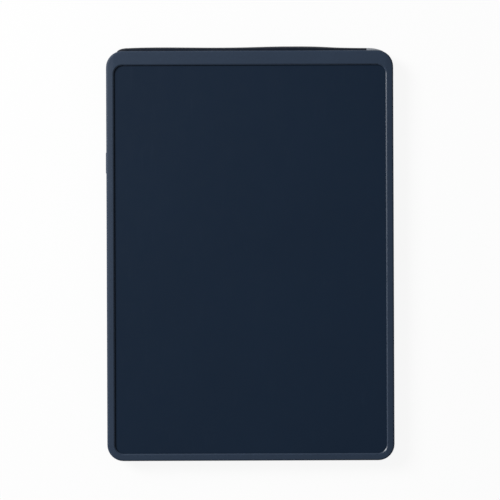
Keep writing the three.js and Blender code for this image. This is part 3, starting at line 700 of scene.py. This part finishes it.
penSettings = {
    "barrel": srgb(17, 25, 38),
    "end": srgb(18, 25, 36),
    "gloss": 0.28,
    "roughness": 0.34,
    "satinSize": 0.3,
    "satinDepth": 0.01,
    "satinBump": 0.6,
    "satinRoughness": 0.08,
    "handSize": 7,  # where fingers leave their grease
    "handLevels": (0.45, 0.75),
    "handShare": 0.3,
    "handShade": 1.35,
    "handRoughness": 0.1,
    "rounding": 0.1,
}


def penPlastic(name, part):
    s = penSettings
    f = Finish(name, gloss=s["gloss"])
    satin = f.noise(s["satinSize"], detail=3, rough=0.6)
    hand = f.rise(f.noise(s["handSize"], detail=3), *s["handLevels"])
    return f.feed(
        color=f.mix(hand * s["handShare"], s[part], shade(s[part], s["handShade"])),
        roughness=s["roughness"] + hand * s["handRoughness"] + (satin - 0.5) * s["satinRoughness"],
        normal=f.bump(satin, s["satinDepth"], s["satinBump"], f.rounded(s["rounding"])),
    )


casePlastic = mouldedPlastic("casePlastic", mouldedSettings["case"])
framePlastic = mouldedPlastic("framePlastic", mouldedSettings["case"], rubbed="film_tape")
keyPlastic = mouldedPlastic("keyPlastic", mouldedSettings["key"], 0.48, grain=0.7)
darkPlastic = mouldedPlastic("darkPlastic", mouldedSettings["dark"], 0.6, grain=1.2, wear=0.15)
filmSurface = filmFinish("filmSurface", filmSettings)
screwSteel = platedSteel("screwSteel", "screw")
cellSteel = cellFinish("cellSteel", "coin_cell", cellSettings)
magnetNickel = platedSteel("magnetNickel", "nickel")
footRubber = rubberFinish("footRubber", rubberSettings)
boardGreen = boardLacquer("boardGreen", boardSettings)
chipEpoxy = mouldedChip("chipEpoxy", chipSettings)
capacitorBody = firedBody("capacitorBody", capacitorSettings)
contactSheet = springSheet("contactSheet", contactSettings)
tailAmber = flexAmber("tailAmber", tailSettings)
tapeBlack = tapeFinish("tapeBlack", tapeSettings)
penNavy = penPlastic("penNavy", "barrel")
penEnd = penPlastic("penEnd", "end")
nibGrey = nibPlastic("nibGrey", nibSettings)


# mesh helpers
meshSettings = {
    "merge": 0.002,  # mm, corners closer than this become one
    "turnedMerge": 0.0005,
    "flat": 0.6,  # degrees between triangles that become one face
    "square": 80,
    "bevelSegments": 2,
    "bevelFrom": 38,  # degrees, the least turn of an edge that is broken
    "smoothTo": 32,  # degrees, where edges start to be sharp
}


def link(mesh, name, material):
    piece = bpy.data.objects.new(name, mesh)
    bpy.context.scene.collection.objects.link(piece)
    mesh.materials.clear()
    mesh.materials.append(material)
    return piece


def smoothByAngle(mesh, angle=meshSettings["smoothTo"]):
    work = bmesh.new()
    work.from_mesh(mesh)
    for face in work.faces:
        face.smooth = True
    limit = math.radians(angle)
    for edge in work.edges:
        edge.smooth = len(edge.link_faces) == 2 and edge.calc_face_angle(0) < limit
    work.to_mesh(mesh)
    work.free()


def applied(piece):  # the piece with its modifiers made plain
    graph = bpy.context.evaluated_depsgraph_get()
    mesh = bpy.data.meshes.new_from_object(piece.evaluated_get(graph))
    piece.modifiers.clear()
    old = piece.data
    piece.data = mesh
    bpy.data.meshes.remove(old)
    return piece


def bevelled(piece, width):
    edge = piece.modifiers.new("edge", "BEVEL")
    edge.width = width * mm
    edge.segments = meshSettings["bevelSegments"]
    edge.limit_method = "ANGLE"
    edge.angle_limit = math.radians(meshSettings["bevelFrom"])
    edge.use_clamp_overlap = True
    edge.miter_outer = "MITER_ARC"
    return piece


def dressed(node, name, material, width):  # a copy of a solid, with its edges broken
    work = bmesh.new()
    work.from_mesh(nodes[node].data)
    bmesh.ops.remove_doubles(work, verts=work.verts, dist=meshSettings["merge"] * mm)
    bmesh.ops.join_triangles(
        work,
        faces=work.faces,
        angle_face_threshold=math.radians(meshSettings["flat"]),
        angle_shape_threshold=math.radians(meshSettings["square"]),
    )
    mesh = bpy.data.meshes.new(name)
    work.to_mesh(mesh)
    work.free()
    piece = link(mesh, name, material)
    if width:
        applied(bevelled(piece, width))
    smoothByAngle(piece.data)
    level = piece.modifiers.new("level", "WEIGHTED_NORMAL")  # keeps the flat faces evenly lit
    level.keep_sharp = True
    return applied(piece)


def settle(piece, body, slot, *replaced):
    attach(piece, body)
    if replaced:
        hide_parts(*replaced)
    print("piece:", piece.name, len(piece.data.polygons), "faces")
    return piece


class Form:  # a Geometry Nodes tree with named sizes, made into a plain mesh
    def __init__(self, name, material, places=((0, 0, 0),), **sizes):
        self.name = name
        self.material = material
        self.places = places
        self.sizes = sizes
        self.tree = bpy.data.node_groups.new(name, "GeometryNodeTree")
        self.keys = {}
        outside = self.tree.interface
        outside.new_socket("places", in_out="INPUT", socket_type="NodeSocketGeometry")
        for key in sizes:
            socket = outside.new_socket(key, in_out="INPUT", socket_type="NodeSocketFloat")
            self.keys[key] = socket.identifier
        outside.new_socket("mesh", in_out="OUTPUT", socket_type="NodeSocketGeometry")
        self.entry = self.tree.nodes.new("NodeGroupInput")
        self.start = Wire(self.tree)

    def size(self, key):
        return Wire(self.tree, self.entry.outputs[key])

    def point(self, x=0.0, y=0.0, z=0.0):
        return self.start.node("ShaderNodeCombineXYZ", {}, {0: x, 1: y, 2: z})

    def circle(self, radius, sides):
        return self.start.node(
            "GeometryNodeCurvePrimitiveCircle", {}, {"Resolution": sides, "Radius": radius}
        )

    def swept(self, path, radius, sides):  # a round section along a path
        return self.start.node(
            "GeometryNodeCurveToMesh",
            {},
            {
                "Curve": path,
                "Profile Curve": self.circle(1.0, sides),
                "Scale": radius,
                "Fill Caps": True,
            },
        )

    # round about a line, with pairs of the share of its length and of the radius there
    def turned(self, low, high, radius, curve, steps, sides):
        line = self.start.node("GeometryNodeCurvePrimitiveLine", {}, {"Start": low, "End": high})
        path = self.start.node("GeometryNodeResampleCurve", {}, {"Curve": line, "Count": steps})
        along = self.start.node("GeometryNodeSplineParameter")
        share = self.start.node("ShaderNodeFloatCurve", {"curve": curve}, {"Value": along})
        return self.swept(path, share * radius, sides)

    def block(self, size, at):
        cube = self.start.node("GeometryNodeMeshCube", {}, {"Size": size})
        return self.moved(cube, at)

    def moved(self, form, at):
        return self.start.node("GeometryNodeTransform", {}, {"Geometry": form, "Translation": at})

    def cut(self, form, tools):
        return self.start.node(
            "GeometryNodeMeshBoolean",
            {"operation": "DIFFERENCE"},
            {"Mesh 1": form, "Mesh 2": tools},
        )

    def together(self, forms):
        return self.start.node("GeometryNodeJoinGeometry", {}, {"Geometry": forms})

    def repeated(self, form, turn=(0, 0, 0)):  # once on each place
        return self.start.node(
            "GeometryNodeInstanceOnPoints",
            {},
            {"Points": self.size("places"), "Instance": form, "Rotation": turn},
        )

    def made(self, form, angle=meshSettings["smoothTo"]):
        real = self.start.node("GeometryNodeRealizeInstances", {}, {"Geometry": form})
        finished = self.start.node(
            "GeometryNodeSetMaterial", {}, {"Geometry": real, "Material": self.material}
        )
        end = self.tree.nodes.new("NodeGroupOutput")
        self.tree.links.new(finished.socket, end.inputs[0])
        mesh = bpy.data.meshes.new(self.name)
        mesh.from_pydata([tuple(place) for place in self.places], [], [])
        piece = bpy.data.objects.new(self.name, mesh)
        bpy.context.scene.collection.objects.link(piece)
        maker = piece.modifiers.new("maker", "NODES")
        maker.node_group = self.tree
        for key, value in self.sizes.items():
            maker[self.keys[key]] = value
        applied(piece)
        piece.data.materials.clear()
        piece.data.materials.append(self.material)
        for face in piece.data.polygons:
            face.material_index = 0
        smoothByAngle(piece.data, angle)
        return piece


def turnedMesh(profile, sides):  # pairs of radius and level, turned about Z
    mesh = bmesh.new()
    rings = []
    for radius, level in profile:
        around = [2 * math.pi * i / sides for i in range(sides if radius else 1)]
        places = [(radius * math.cos(a), radius * math.sin(a), level) for a in around]
        rings.append([mesh.verts.new(place) for place in places])
    for lower, upper in zip(rings, rings[1:]):
        for i in range(sides):
            a, b = lower[i % len(lower)], lower[(i + 1) % len(lower)]
            c, d = upper[(i + 1) % len(upper)], upper[i % len(upper)]
            corners = list(dict.fromkeys([a, b, c, d]))
            if len(corners) > 2:
                mesh.faces.new(corners)
    bmesh.ops.remove_doubles(mesh, verts=mesh.verts, dist=meshSettings["turnedMerge"] * mm)
    bmesh.ops.recalc_face_normals(mesh, faces=mesh.faces)
    return mesh


# a bmesh, turned, put in its place and made a piece
def laid(work, name, material, turn=None, at=(0, 0, 0), angle=meshSettings["smoothTo"]):
    if turn:
        bmesh.ops.rotate(work, verts=work.verts, matrix=turn)
    bmesh.ops.translate(work, verts=work.verts, vec=Vector(at))
    mesh = bpy.data.meshes.new(name)
    work.to_mesh(mesh)
    work.free()
    smoothByAngle(mesh, angle)
    return link(mesh, name, material)


# the shell; the large mouldings have their edges broken in the CAD, the small ones here
print("stage: shell")
smallEdge = 0.1  # mm
settle(dressed("front_frame", "frontFrame", framePlastic, 0), "case", "case", "front_frame")
settle(dressed("rear_cover", "rearCover", casePlastic, 0), "case", "case", "rear_cover")
settle(dressed("battery_cap", "batteryCap", casePlastic, smallEdge), "cap", "case", "battery_cap")
settle(dressed("lock_slider", "lockSlider", keyPlastic, smallEdge), "lock", "key", "lock_slider")
settle(dressed("erase_key", "eraseKey", keyPlastic, smallEdge), "key", "key", "erase_key")


# the screws, each with its drive cross and a rolled thread
print("stage: screws")
caseScrewSettings = {
    "sizes": {  # the inputs of the node tree
        "headRadius": 1.8 * mm,
        "headHeight": 1.0 * mm,
        "threadRadius": 0.95 * mm,
        "length": 4.4 * mm,
        "pitch": 0.55 * mm,
        "driveReach": 1.05 * mm,
        "driveWidth": 0.4 * mm,
        "driveDepth": 0.6 * mm,
    },
    "head": [(0, 0.97), (0.06, 1), (0.6, 0.99), (0.85, 0.9), (1, 0.72)],
    "headSteps": 40,
    "headSides": 32,
    "secondArm": 0.95,  # less deep than the first, so that no two faces coincide
    "shank": [(0, 1), (0.84, 1), (0.9, 0.92), (1, 0.5)],
    "shankSteps": 24,
    "shankSides": 20,
    "letIn": 0.1 * mm,  # how far the shank reaches into the head
    "rootShare": 0.8,  # of the thread's radius
    "threadStart": 0.15 * mm,  # under the head
    "withoutThread": 0.7 * mm,  # of the length
    "threadWidth": 0.18 * mm,
    "threadSteps": 20,  # to a turn
    "threadSides": 4,
}
boardScrewSizes = dict(caseScrewSettings["sizes"], length=2.5 * mm)
boardScrewSettings = dict(caseScrewSettings, sizes=boardScrewSizes)


def makeScrews(name, s, places, turn):
    f = Form(name, screwSteel, places, **s["sizes"])
    head, reach = f.size("headHeight"), f.size("driveReach")
    width, depth, length = f.size("driveWidth"), f.size("driveDepth"), f.size("length")
    dome = f.turned(
        (0, 0, 0),
        f.point(z=head),
        f.size("headRadius"),
        s["head"],
        s["headSteps"],
        s["headSides"],
    )
    arms = [
        f.block(f.point(reach * 2, width, depth * 2), f.point(z=head)),
        f.block(f.point(width, reach * 2, depth * 2 * s["secondArm"]), f.point(z=head)),
    ]
    root = f.size("threadRadius") * s["rootShare"]
    shank = f.turned(
        f.point(z=s["letIn"]),
        f.point(z=-length),
        root,
        s["shank"],
        s["shankSteps"],
        s["shankSides"],
    )
    climb = length - s["withoutThread"]
    spiral = f.start.node(
        "GeometryNodeCurveSpiral",
        {},
        {
            "Resolution": s["threadSteps"],
            "Rotations": climb / f.size("pitch"),
            "Start Radius": root,
            "End Radius": root,
            "Height": climb,
        },
    )
    ridge = f.swept(spiral, s["threadWidth"], s["threadSides"])
    thread = f.moved(ridge, f.point(z=-climb - s["threadStart"]))
    screw = f.together([f.cut(dome, arms), shank, thread])
    return f.made(f.repeated(screw, turn))


def named(kind, count):
    return [kind + "_" + str(number) for number in range(1, count + 1)]


headDown, headUp = (math.pi, 0, 0.4), (0, 0, 0.7)  # each with its cross turned a little
caseHead = Vector((0, 0, caseScrewSettings["sizes"]["headHeight"]))
boardHead = Vector((0, 0, boardScrewSizes["headHeight"]))
caseScrewNodes = named("case_screw", 6)
boardScrewNodes = named("board_screw", 3)
caseScrewPlaces = [lowest(node) + caseHead for node in caseScrewNodes]
boardScrewPlaces = [highest(node) - boardHead for node in boardScrewNodes]
caseScrews = makeScrews("caseScrews", caseScrewSettings, caseScrewPlaces, headDown)
settle(caseScrews, "case", "screw_steel", *caseScrewNodes)
boardScrews = makeScrews("boardScrews", boardScrewSettings, boardScrewPlaces, headUp)
settle(boardScrews, "case", "screw_steel", *boardScrewNodes)


# the feet, each with rings moulded in its underside
print("stage: feet")
footSettings = {
    "sizes": {
        "radius": 5.0 * mm,
        "height": 1.35 * mm,
        "ringLift": 0.1 * mm,
        "ringSpacing": 1.15 * mm,
        "ringWidth": 0.16 * mm,
    },
    "pad": [(0, 0.93), (0.08, 0.965), (0.2, 0.99), (0.34, 1), (1, 1)],
    "padSteps": 24,
    "padSides": 64,
    "rings": 4,
    "ringSteps": 56,
    "ringSides": 10,
    "smoothTo": 40,  # degrees
}


def makeFeet(s, footNodes):
    f = Form("feet", footRubber, [lowest(node) for node in footNodes], **s["sizes"])
    pad = f.turned(
        f.point(z=f.size("ringLift")),
        f.point(z=f.size("height")),
        f.size("radius"),
        s["pad"],
        s["padSteps"],
        s["padSides"],
    )
    forms = [pad]
    for count in range(1, s["rings"] + 1):
        path = f.circle(f.size("ringSpacing") * count, s["ringSteps"])
        ring = f.swept(path, f.size("ringWidth"), s["ringSides"])
        forms.append(f.moved(ring, f.point(z=f.size("ringWidth"))))
    return f.made(f.repeated(f.together(forms)), s["smoothTo"])


footNodes = named("foot", 4)
settle(makeFeet(footSettings, footNodes), "case", "foot_rubber", *footNodes)


# raised marks on the back: the battery cap shut and open, and the eraser locked and free
print("stage: marks")
markSettings = {
    "lift": 0.2 * mm,
    "root": 0.1 * mm,  # let into the face that carries it
    "pastRim": 3.4 * mm,
    "besideSlider": 3 * mm,
    "capTurn": 40,  # degrees
    "bodyWidth": 2.2 * mm,
    "bodyHeight": 1.6 * mm,
    "loopRadius": 0.62 * mm,
    "loopWidth": 0.36 * mm,
    "loopLeg": 0.5 * mm,
    "loopLift": 0.55 * mm,  # when open
    "freeEnd": 0.9,  # share of the leg's length that the open end stands over the body
    "arrowWidth": 0.45 * mm,
    "arrowStart": 10,  # degrees
    "arrowEnd": 27,
    "headWidth": 1.5 * mm,
    "headTurn": 5,
    "pointerWidth": 2.4 * mm,
    "pointerLength": 1.9 * mm,
    "pointerFromRim": 1.0 * mm,
    "steps": 14,  # of each arc
}
capMiddle = middle("battery_cap")
capRadius = capMiddle.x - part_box("battery_cap")[0].x
backFace = lowest("battery_cap").z


def spot(radius, turn):  # degrees from the top, clockwise
    a = math.radians(turn)
    return (radius * math.sin(a), radius * math.cos(a))


def arc(radius, start, end, steps):
    return [spot(radius, start + (end - start) * step / steps) for step in range(steps + 1)]


def moved(points, x, y):
    return [(x + px, y + py) for px, py in points]


def padlock(s, unlocked):
    half, top = s["bodyWidth"] / 2, s["bodyHeight"] / 2
    thin = s["loopWidth"] / 2
    wide, narrow = s["loopRadius"] + thin, s["loopRadius"] - thin
    free, centre = top, top + s["loopLeg"]
    if unlocked:
        free, centre = top + s["loopLeg"] * s["freeEnd"], centre + s["loopLift"]
    outer = moved(arc(wide, -90, 90, s["steps"]), 0, centre)
    inner = moved(arc(narrow, 90, -90, s["steps"]), 0, centre)
    loop = [(-wide, top), *outer, (wide, free), (narrow, free), *inner, (-narrow, top)]
    return [[(-half, -top), (half, -top), (half, top), (-half, top)], loop]


def turnArrow(s):
    radius = capRadius + s["pastRim"]
    thin, wing = s["arrowWidth"] / 2, s["headWidth"] / 2
    outer = arc(radius + thin, s["arrowStart"], s["arrowEnd"], s["steps"])
    inner = arc(radius - thin, s["arrowEnd"], s["arrowStart"], s["steps"])
    head = [
        spot(radius + wing, s["arrowEnd"]),
        spot(radius, s["arrowEnd"] + s["headTurn"]),
        spot(radius - wing, s["arrowEnd"]),
    ]
    return outer + head + inner


def raised(name, outlines, material, s):  # flat shapes standing out of the back
    work = bmesh.new()
    levels = (backFace - s["lift"], backFace + s["root"])
    for outline in outlines:
        lower, upper = [[work.verts.new((x, y, z)) for x, y in outline] for z in levels]
        ends = [work.faces.new(lower), work.faces.new(upper)]
        for i, corner in enumerate(lower):
            following = (i + 1) % len(lower)
            work.faces.new((corner, lower[following], upper[following], upper[i]))
        bmesh.ops.triangulate(work, faces=ends)
    bmesh.ops.recalc_face_normals(work, faces=work.faces)
    return laid(work, name, material)


def makeBackMarks(s):
    x, y = capMiddle.x, capMiddle.y
    away = capRadius + s["pastRim"]
    low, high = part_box("lock_slider")
    beside = high.x + s["besideSlider"]
    padlocks = [
        (moved([spot(away, 0)], x, y)[0], False),
        (moved([spot(away, s["capTurn"])], x, y)[0], True),
        ((beside, low.y + s["bodyHeight"]), False),
        ((beside, high.y), True),
    ]
    shapes = [moved(turnArrow(s), x, y)]
    for place, unlocked in padlocks:
        shapes += [moved(line, *place) for line in padlock(s, unlocked)]
    return raised("backMarks", shapes, casePlastic, s)


def makeCapPointer(s):
    half, length = s["pointerWidth"] / 2, s["pointerLength"]
    triangle = [(0, 0), (half, -length), (-half, -length)]
    place = capMiddle.x, capMiddle.y + capRadius - s["pointerFromRim"]
    return raised("capPointer", [moved(triangle, *place)], casePlastic, s)


settle(makeBackMarks(markSettings), "case", "case")
settle(makeCapPointer(markSettings), "cap", "case")


# the stylus: its barrel swells to the grip and narrows to the nib
print("stage: stylus")
stylusSettings = {
    # pairs of the share of the barrel's length and the radius there, in millimetres
    "barrel": [(0, 2.6), (0.1, 2.87), (0.41, 2.66), (0.72, 3.2), (0.92, 2.35), (1, 2.2)],
    "barrelSteps": 200,
    "barrelSmoothTo": 50,  # degrees
    "joint": 0.1 * mm,  # seen between two pieces
    "jointDepth": 0.12 * mm,
    "neckDepth": 0.4 * mm,  # under the joint, where one piece goes into the next
    "capFullness": 2.1,  # 2 is an ellipse, more is blunter
    "collar": 0.9 * mm,  # how far the barrel reaches over the nib
    "nibRadius": 2.2 * mm,
    "nibShoulder": 1.4 * mm,
    "nibFullness": 2.3,  # the higher, the longer the nib keeps its width
    "nibTip": 0.6 * mm,
    "nibTipTurn": 25,  # degrees, where the taper meets the round tip
    "steps": 20,  # along the end cap and the nib
    "sides": 56,
    "smoothTo": 40,
}
alongX = Matrix.Rotation(math.pi / 2, 3, "Y")
barrelLow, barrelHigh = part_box("stylus_barrel")
penRadius = (barrelHigh.z - barrelLow.z) / 2
penAxis = Vector((0, *middle("stylus_barrel").yz))


def makeBarrel(s):
    end = barrelHigh.x + s["collar"]
    solidShare = (barrelHigh.x - barrelLow.x) / (end - barrelLow.x)
    skin = [(share * solidShare, radius * mm / penRadius) for share, radius in s["barrel"]]
    sizes = {"start": barrelLow.x, "end": end, "y": penAxis.y, "z": penAxis.z, "radius": penRadius}
    f = Form("stylusBarrel", penNavy, **sizes)
    body = f.turned(
        f.point(f.size("start"), f.size("y"), f.size("z")),
        f.point(f.size("end"), f.size("y"), f.size("z")),
        f.size("radius"),
        skin + [(1, skin[-1][1])],
        s["barrelSteps"],
        s["sides"],
    )
    return f.made(f.repeated(body), s["barrelSmoothTo"])


def penPiece(profile, name, material, start, s):
    work = turnedMesh(profile, s["sides"])
    return laid(work, name, material, alongX, penAxis + Vector((start, 0, 0)), s["smoothTo"])


def makeEndCap(s):
    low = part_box("stylus_end_cap")[0].x
    radius = s["barrel"][0][1] * mm
    length = barrelLow.x - low - s["joint"]
    full = s["capFullness"]
    alongs = [(step / s["steps"]) ** 2 for step in range(s["steps"])]  # closer together at the tip
    nose = [(radius * (1 - (1 - along) ** full) ** (1 / full), length * along) for along in alongs]
    neck = [
        (radius - s["jointDepth"], length),
        (radius - s["neckDepth"], length),
        (radius - s["neckDepth"], length + 2 * s["joint"]),
        (0, length + 2 * s["joint"]),
    ]
    return penPiece(nose + neck, "stylusEndCap", penEnd, low, s)


def makeNib(s):
    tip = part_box("stylus_nib")[1].x - barrelHigh.x
    start, radius, ball = s["collar"] + s["joint"], s["nibRadius"], s["nibTip"]
    neck = [
        (0, start - 2 * s["joint"]),
        (radius - s["neckDepth"], start - 2 * s["joint"]),
        (radius - s["neckDepth"], start),
        (radius - s["jointDepth"], start),
        (radius, start + s["jointDepth"]),
    ]
    shares = [step / s["steps"] for step in range(s["steps"] + 1)]
    turn = math.radians(s["nibTipTurn"])
    endRadius, endAt = ball * math.cos(turn), tip - ball * (1 - math.sin(turn))
    taper = []
    for share in shares:
        narrowed = (radius - endRadius) * share ** s["nibFullness"]
        taper.append((radius - narrowed, s["nibShoulder"] + (endAt - s["nibShoulder"]) * share))
    turns = [turn + (math.pi / 2 - turn) * share for share in shares[1:-1]]
    point = [(ball * math.cos(a), tip - ball * (1 - math.sin(a))) for a in turns]
    return penPiece(neck + taper + point + [(0, tip)], "stylusNib", nibGrey, barrelHigh.x, s)


settle(makeBarrel(stylusSettings), "stylus", "stylus", "stylus_barrel")
settle(makeEndCap(stylusSettings), "stylus", "stylus", "stylus_end_cap")
settle(makeNib(stylusSettings), "stylus", "nib", "stylus_nib")

# solids that stay as they are and only take a material
carried = {
    "backing_plate": darkPlastic,
    "writing_film": filmSurface,
    "film_tape": tapeBlack,
    "film_flex_tail": tailAmber,
    "main_board": boardGreen,
    "erase_switch": chipEpoxy,
    "erase_switch_plunger": darkPlastic,
    "driver_chip": chipEpoxy,
    "boost_inductor": chipEpoxy,
    "capacitor_1": capacitorBody,
    "capacitor_2": capacitorBody,
    "capacitor_3": capacitorBody,
    "flex_connector": darkPlastic,
    "cell_contact_negative": contactSheet,
    "cell_contact_positive": contactSheet,
    "coin_cell": cellSteel,
    "lock_keeper": darkPlastic,
    "lock_wiper": contactSheet,
    "dock_magnet_left": magnetNickel,
    "dock_magnet_right": magnetNickel,
    "stylus_core": screwSteel,
}
for node, material in carried.items():
    nodes[node].data.materials.clear()
    nodes[node].data.materials.append(material)


# floor and light
print("stage: floor and light")
studio = {
    "floorSize": 3.0,
    "floorTone": 0.9,
    "whiteShare": 0.9,  # of the floor round the tablet that the camera sees as plain white
    "whiteFrom": 0.3,  # metres from the middle, where that share starts to rise
    "whiteTo": 0.9,  # where the floor is as white as the room, so that no edge of it shows
    "fill": 0.3,
    "mirrored": 0.12,  # how bright the room is in the tablet's gloss
    "key": {"at": (-1.25, 0.72, 1.0), "size": 0.7, "power": 33.5},
    "below": {"at": (-0.7, -0.9, -1.5), "size": 1.4, "power": 24},
}
plainWhite = (1, 1, 1, 1)


def makeFloor(s):
    half, tone = s["floorSize"] / 2, s["floorTone"]
    mesh = bpy.data.meshes.new("floor")
    corners = [(-half, -half, 0), (half, -half, 0), (half, half, 0), (-half, half, 0)]
    mesh.from_pydata(corners, [], [(0, 1, 2, 3)])
    material = bpy.data.materials.new("paleFloor")
    material.use_nodes = True
    tree = material.node_tree
    tree.nodes.clear()
    start = Wire(tree)
    matte = start.node("ShaderNodeBsdfDiffuse", {}, {"Color": (tone, tone, tone, 1)})
    white = start.node("ShaderNodeEmission", {}, {"Color": plainWhite, "Strength": 1.0})
    clear = start.node("ShaderNodeBsdfTransparent")
    seen = start.node("ShaderNodeLightPath", output="Is Camera Ray")
    shadow = start.node("ShaderNodeLightPath", output="Is Shadow Ray")
    bounce = start.node("ShaderNodeLightPath", output="Is Diffuse Ray")
    under = start.node("ShaderNodeNewGeometry", output="Backfacing")
    place = start.node("ShaderNodeTexCoord", output="Object")
    away = start.node("ShaderNodeVectorMath", {"operation": "LENGTH"}, {0: place}, output="Value")
    share = start.node(
        "ShaderNodeMapRange",
        {"interpolation_type": "SMOOTHSTEP"},
        {0: away, 1: s["whiteFrom"], 2: s["whiteTo"], 3: s["whiteShare"], 4: 1.0},
    )
    both = start.node("ShaderNodeMixShader", {}, {0: seen * share, 1: matte, 2: white})
    # see-through from below, and light from below passes it, so that the underside is lit
    gone = (under + shadow + bounce).clamped()
    shown = start.node("ShaderNodeMixShader", {}, {0: gone, 1: both, 2: clear})
    out = tree.nodes.new("ShaderNodeOutputMaterial")
    tree.links.new(shown.socket, out.inputs[0])
    floor = link(mesh, "floor", material)


def makeWorld(s):
    world = bpy.data.worlds.new("room")
    world.use_nodes = True
    bpy.context.scene.world = world
    tree = world.node_tree
    tree.nodes.clear()
    start = Wire(tree)
    seen = start.node("ShaderNodeLightPath", output="Is Camera Ray")
    glossy = start.node("ShaderNodeLightPath", output="Is Glossy Ray")
    strength = s["fill"] + seen * (1 - s["fill"]) + glossy * (s["mirrored"] - s["fill"])
    room = start.node("ShaderNodeBackground", {}, {"Color": plainWhite, "Strength": strength})
    out = tree.nodes.new("ShaderNodeOutputWorld")
    tree.links.new(room.socket, out.inputs[0])


def makeLamp(name, s):
    lamp = bpy.data.lights.new(name, "AREA")
    lamp.shape = "SQUARE"
    lamp.size = s["size"]
    lamp.energy = s["power"]
    held = bpy.data.objects.new(name, lamp)
    held.location = s["at"]
    held.rotation_euler = (-Vector(s["at"])).to_track_quat("-Z", "Y").to_euler()
    held.visible_camera = False
    bpy.context.scene.collection.objects.link(held)


makeFloor(studio)
makeWorld(studio)
makeLamp("key light", studio["key"])
makeLamp("light below", studio["below"])
bpy.context.scene.view_settings.view_transform = "Standard"

print("stage: done")
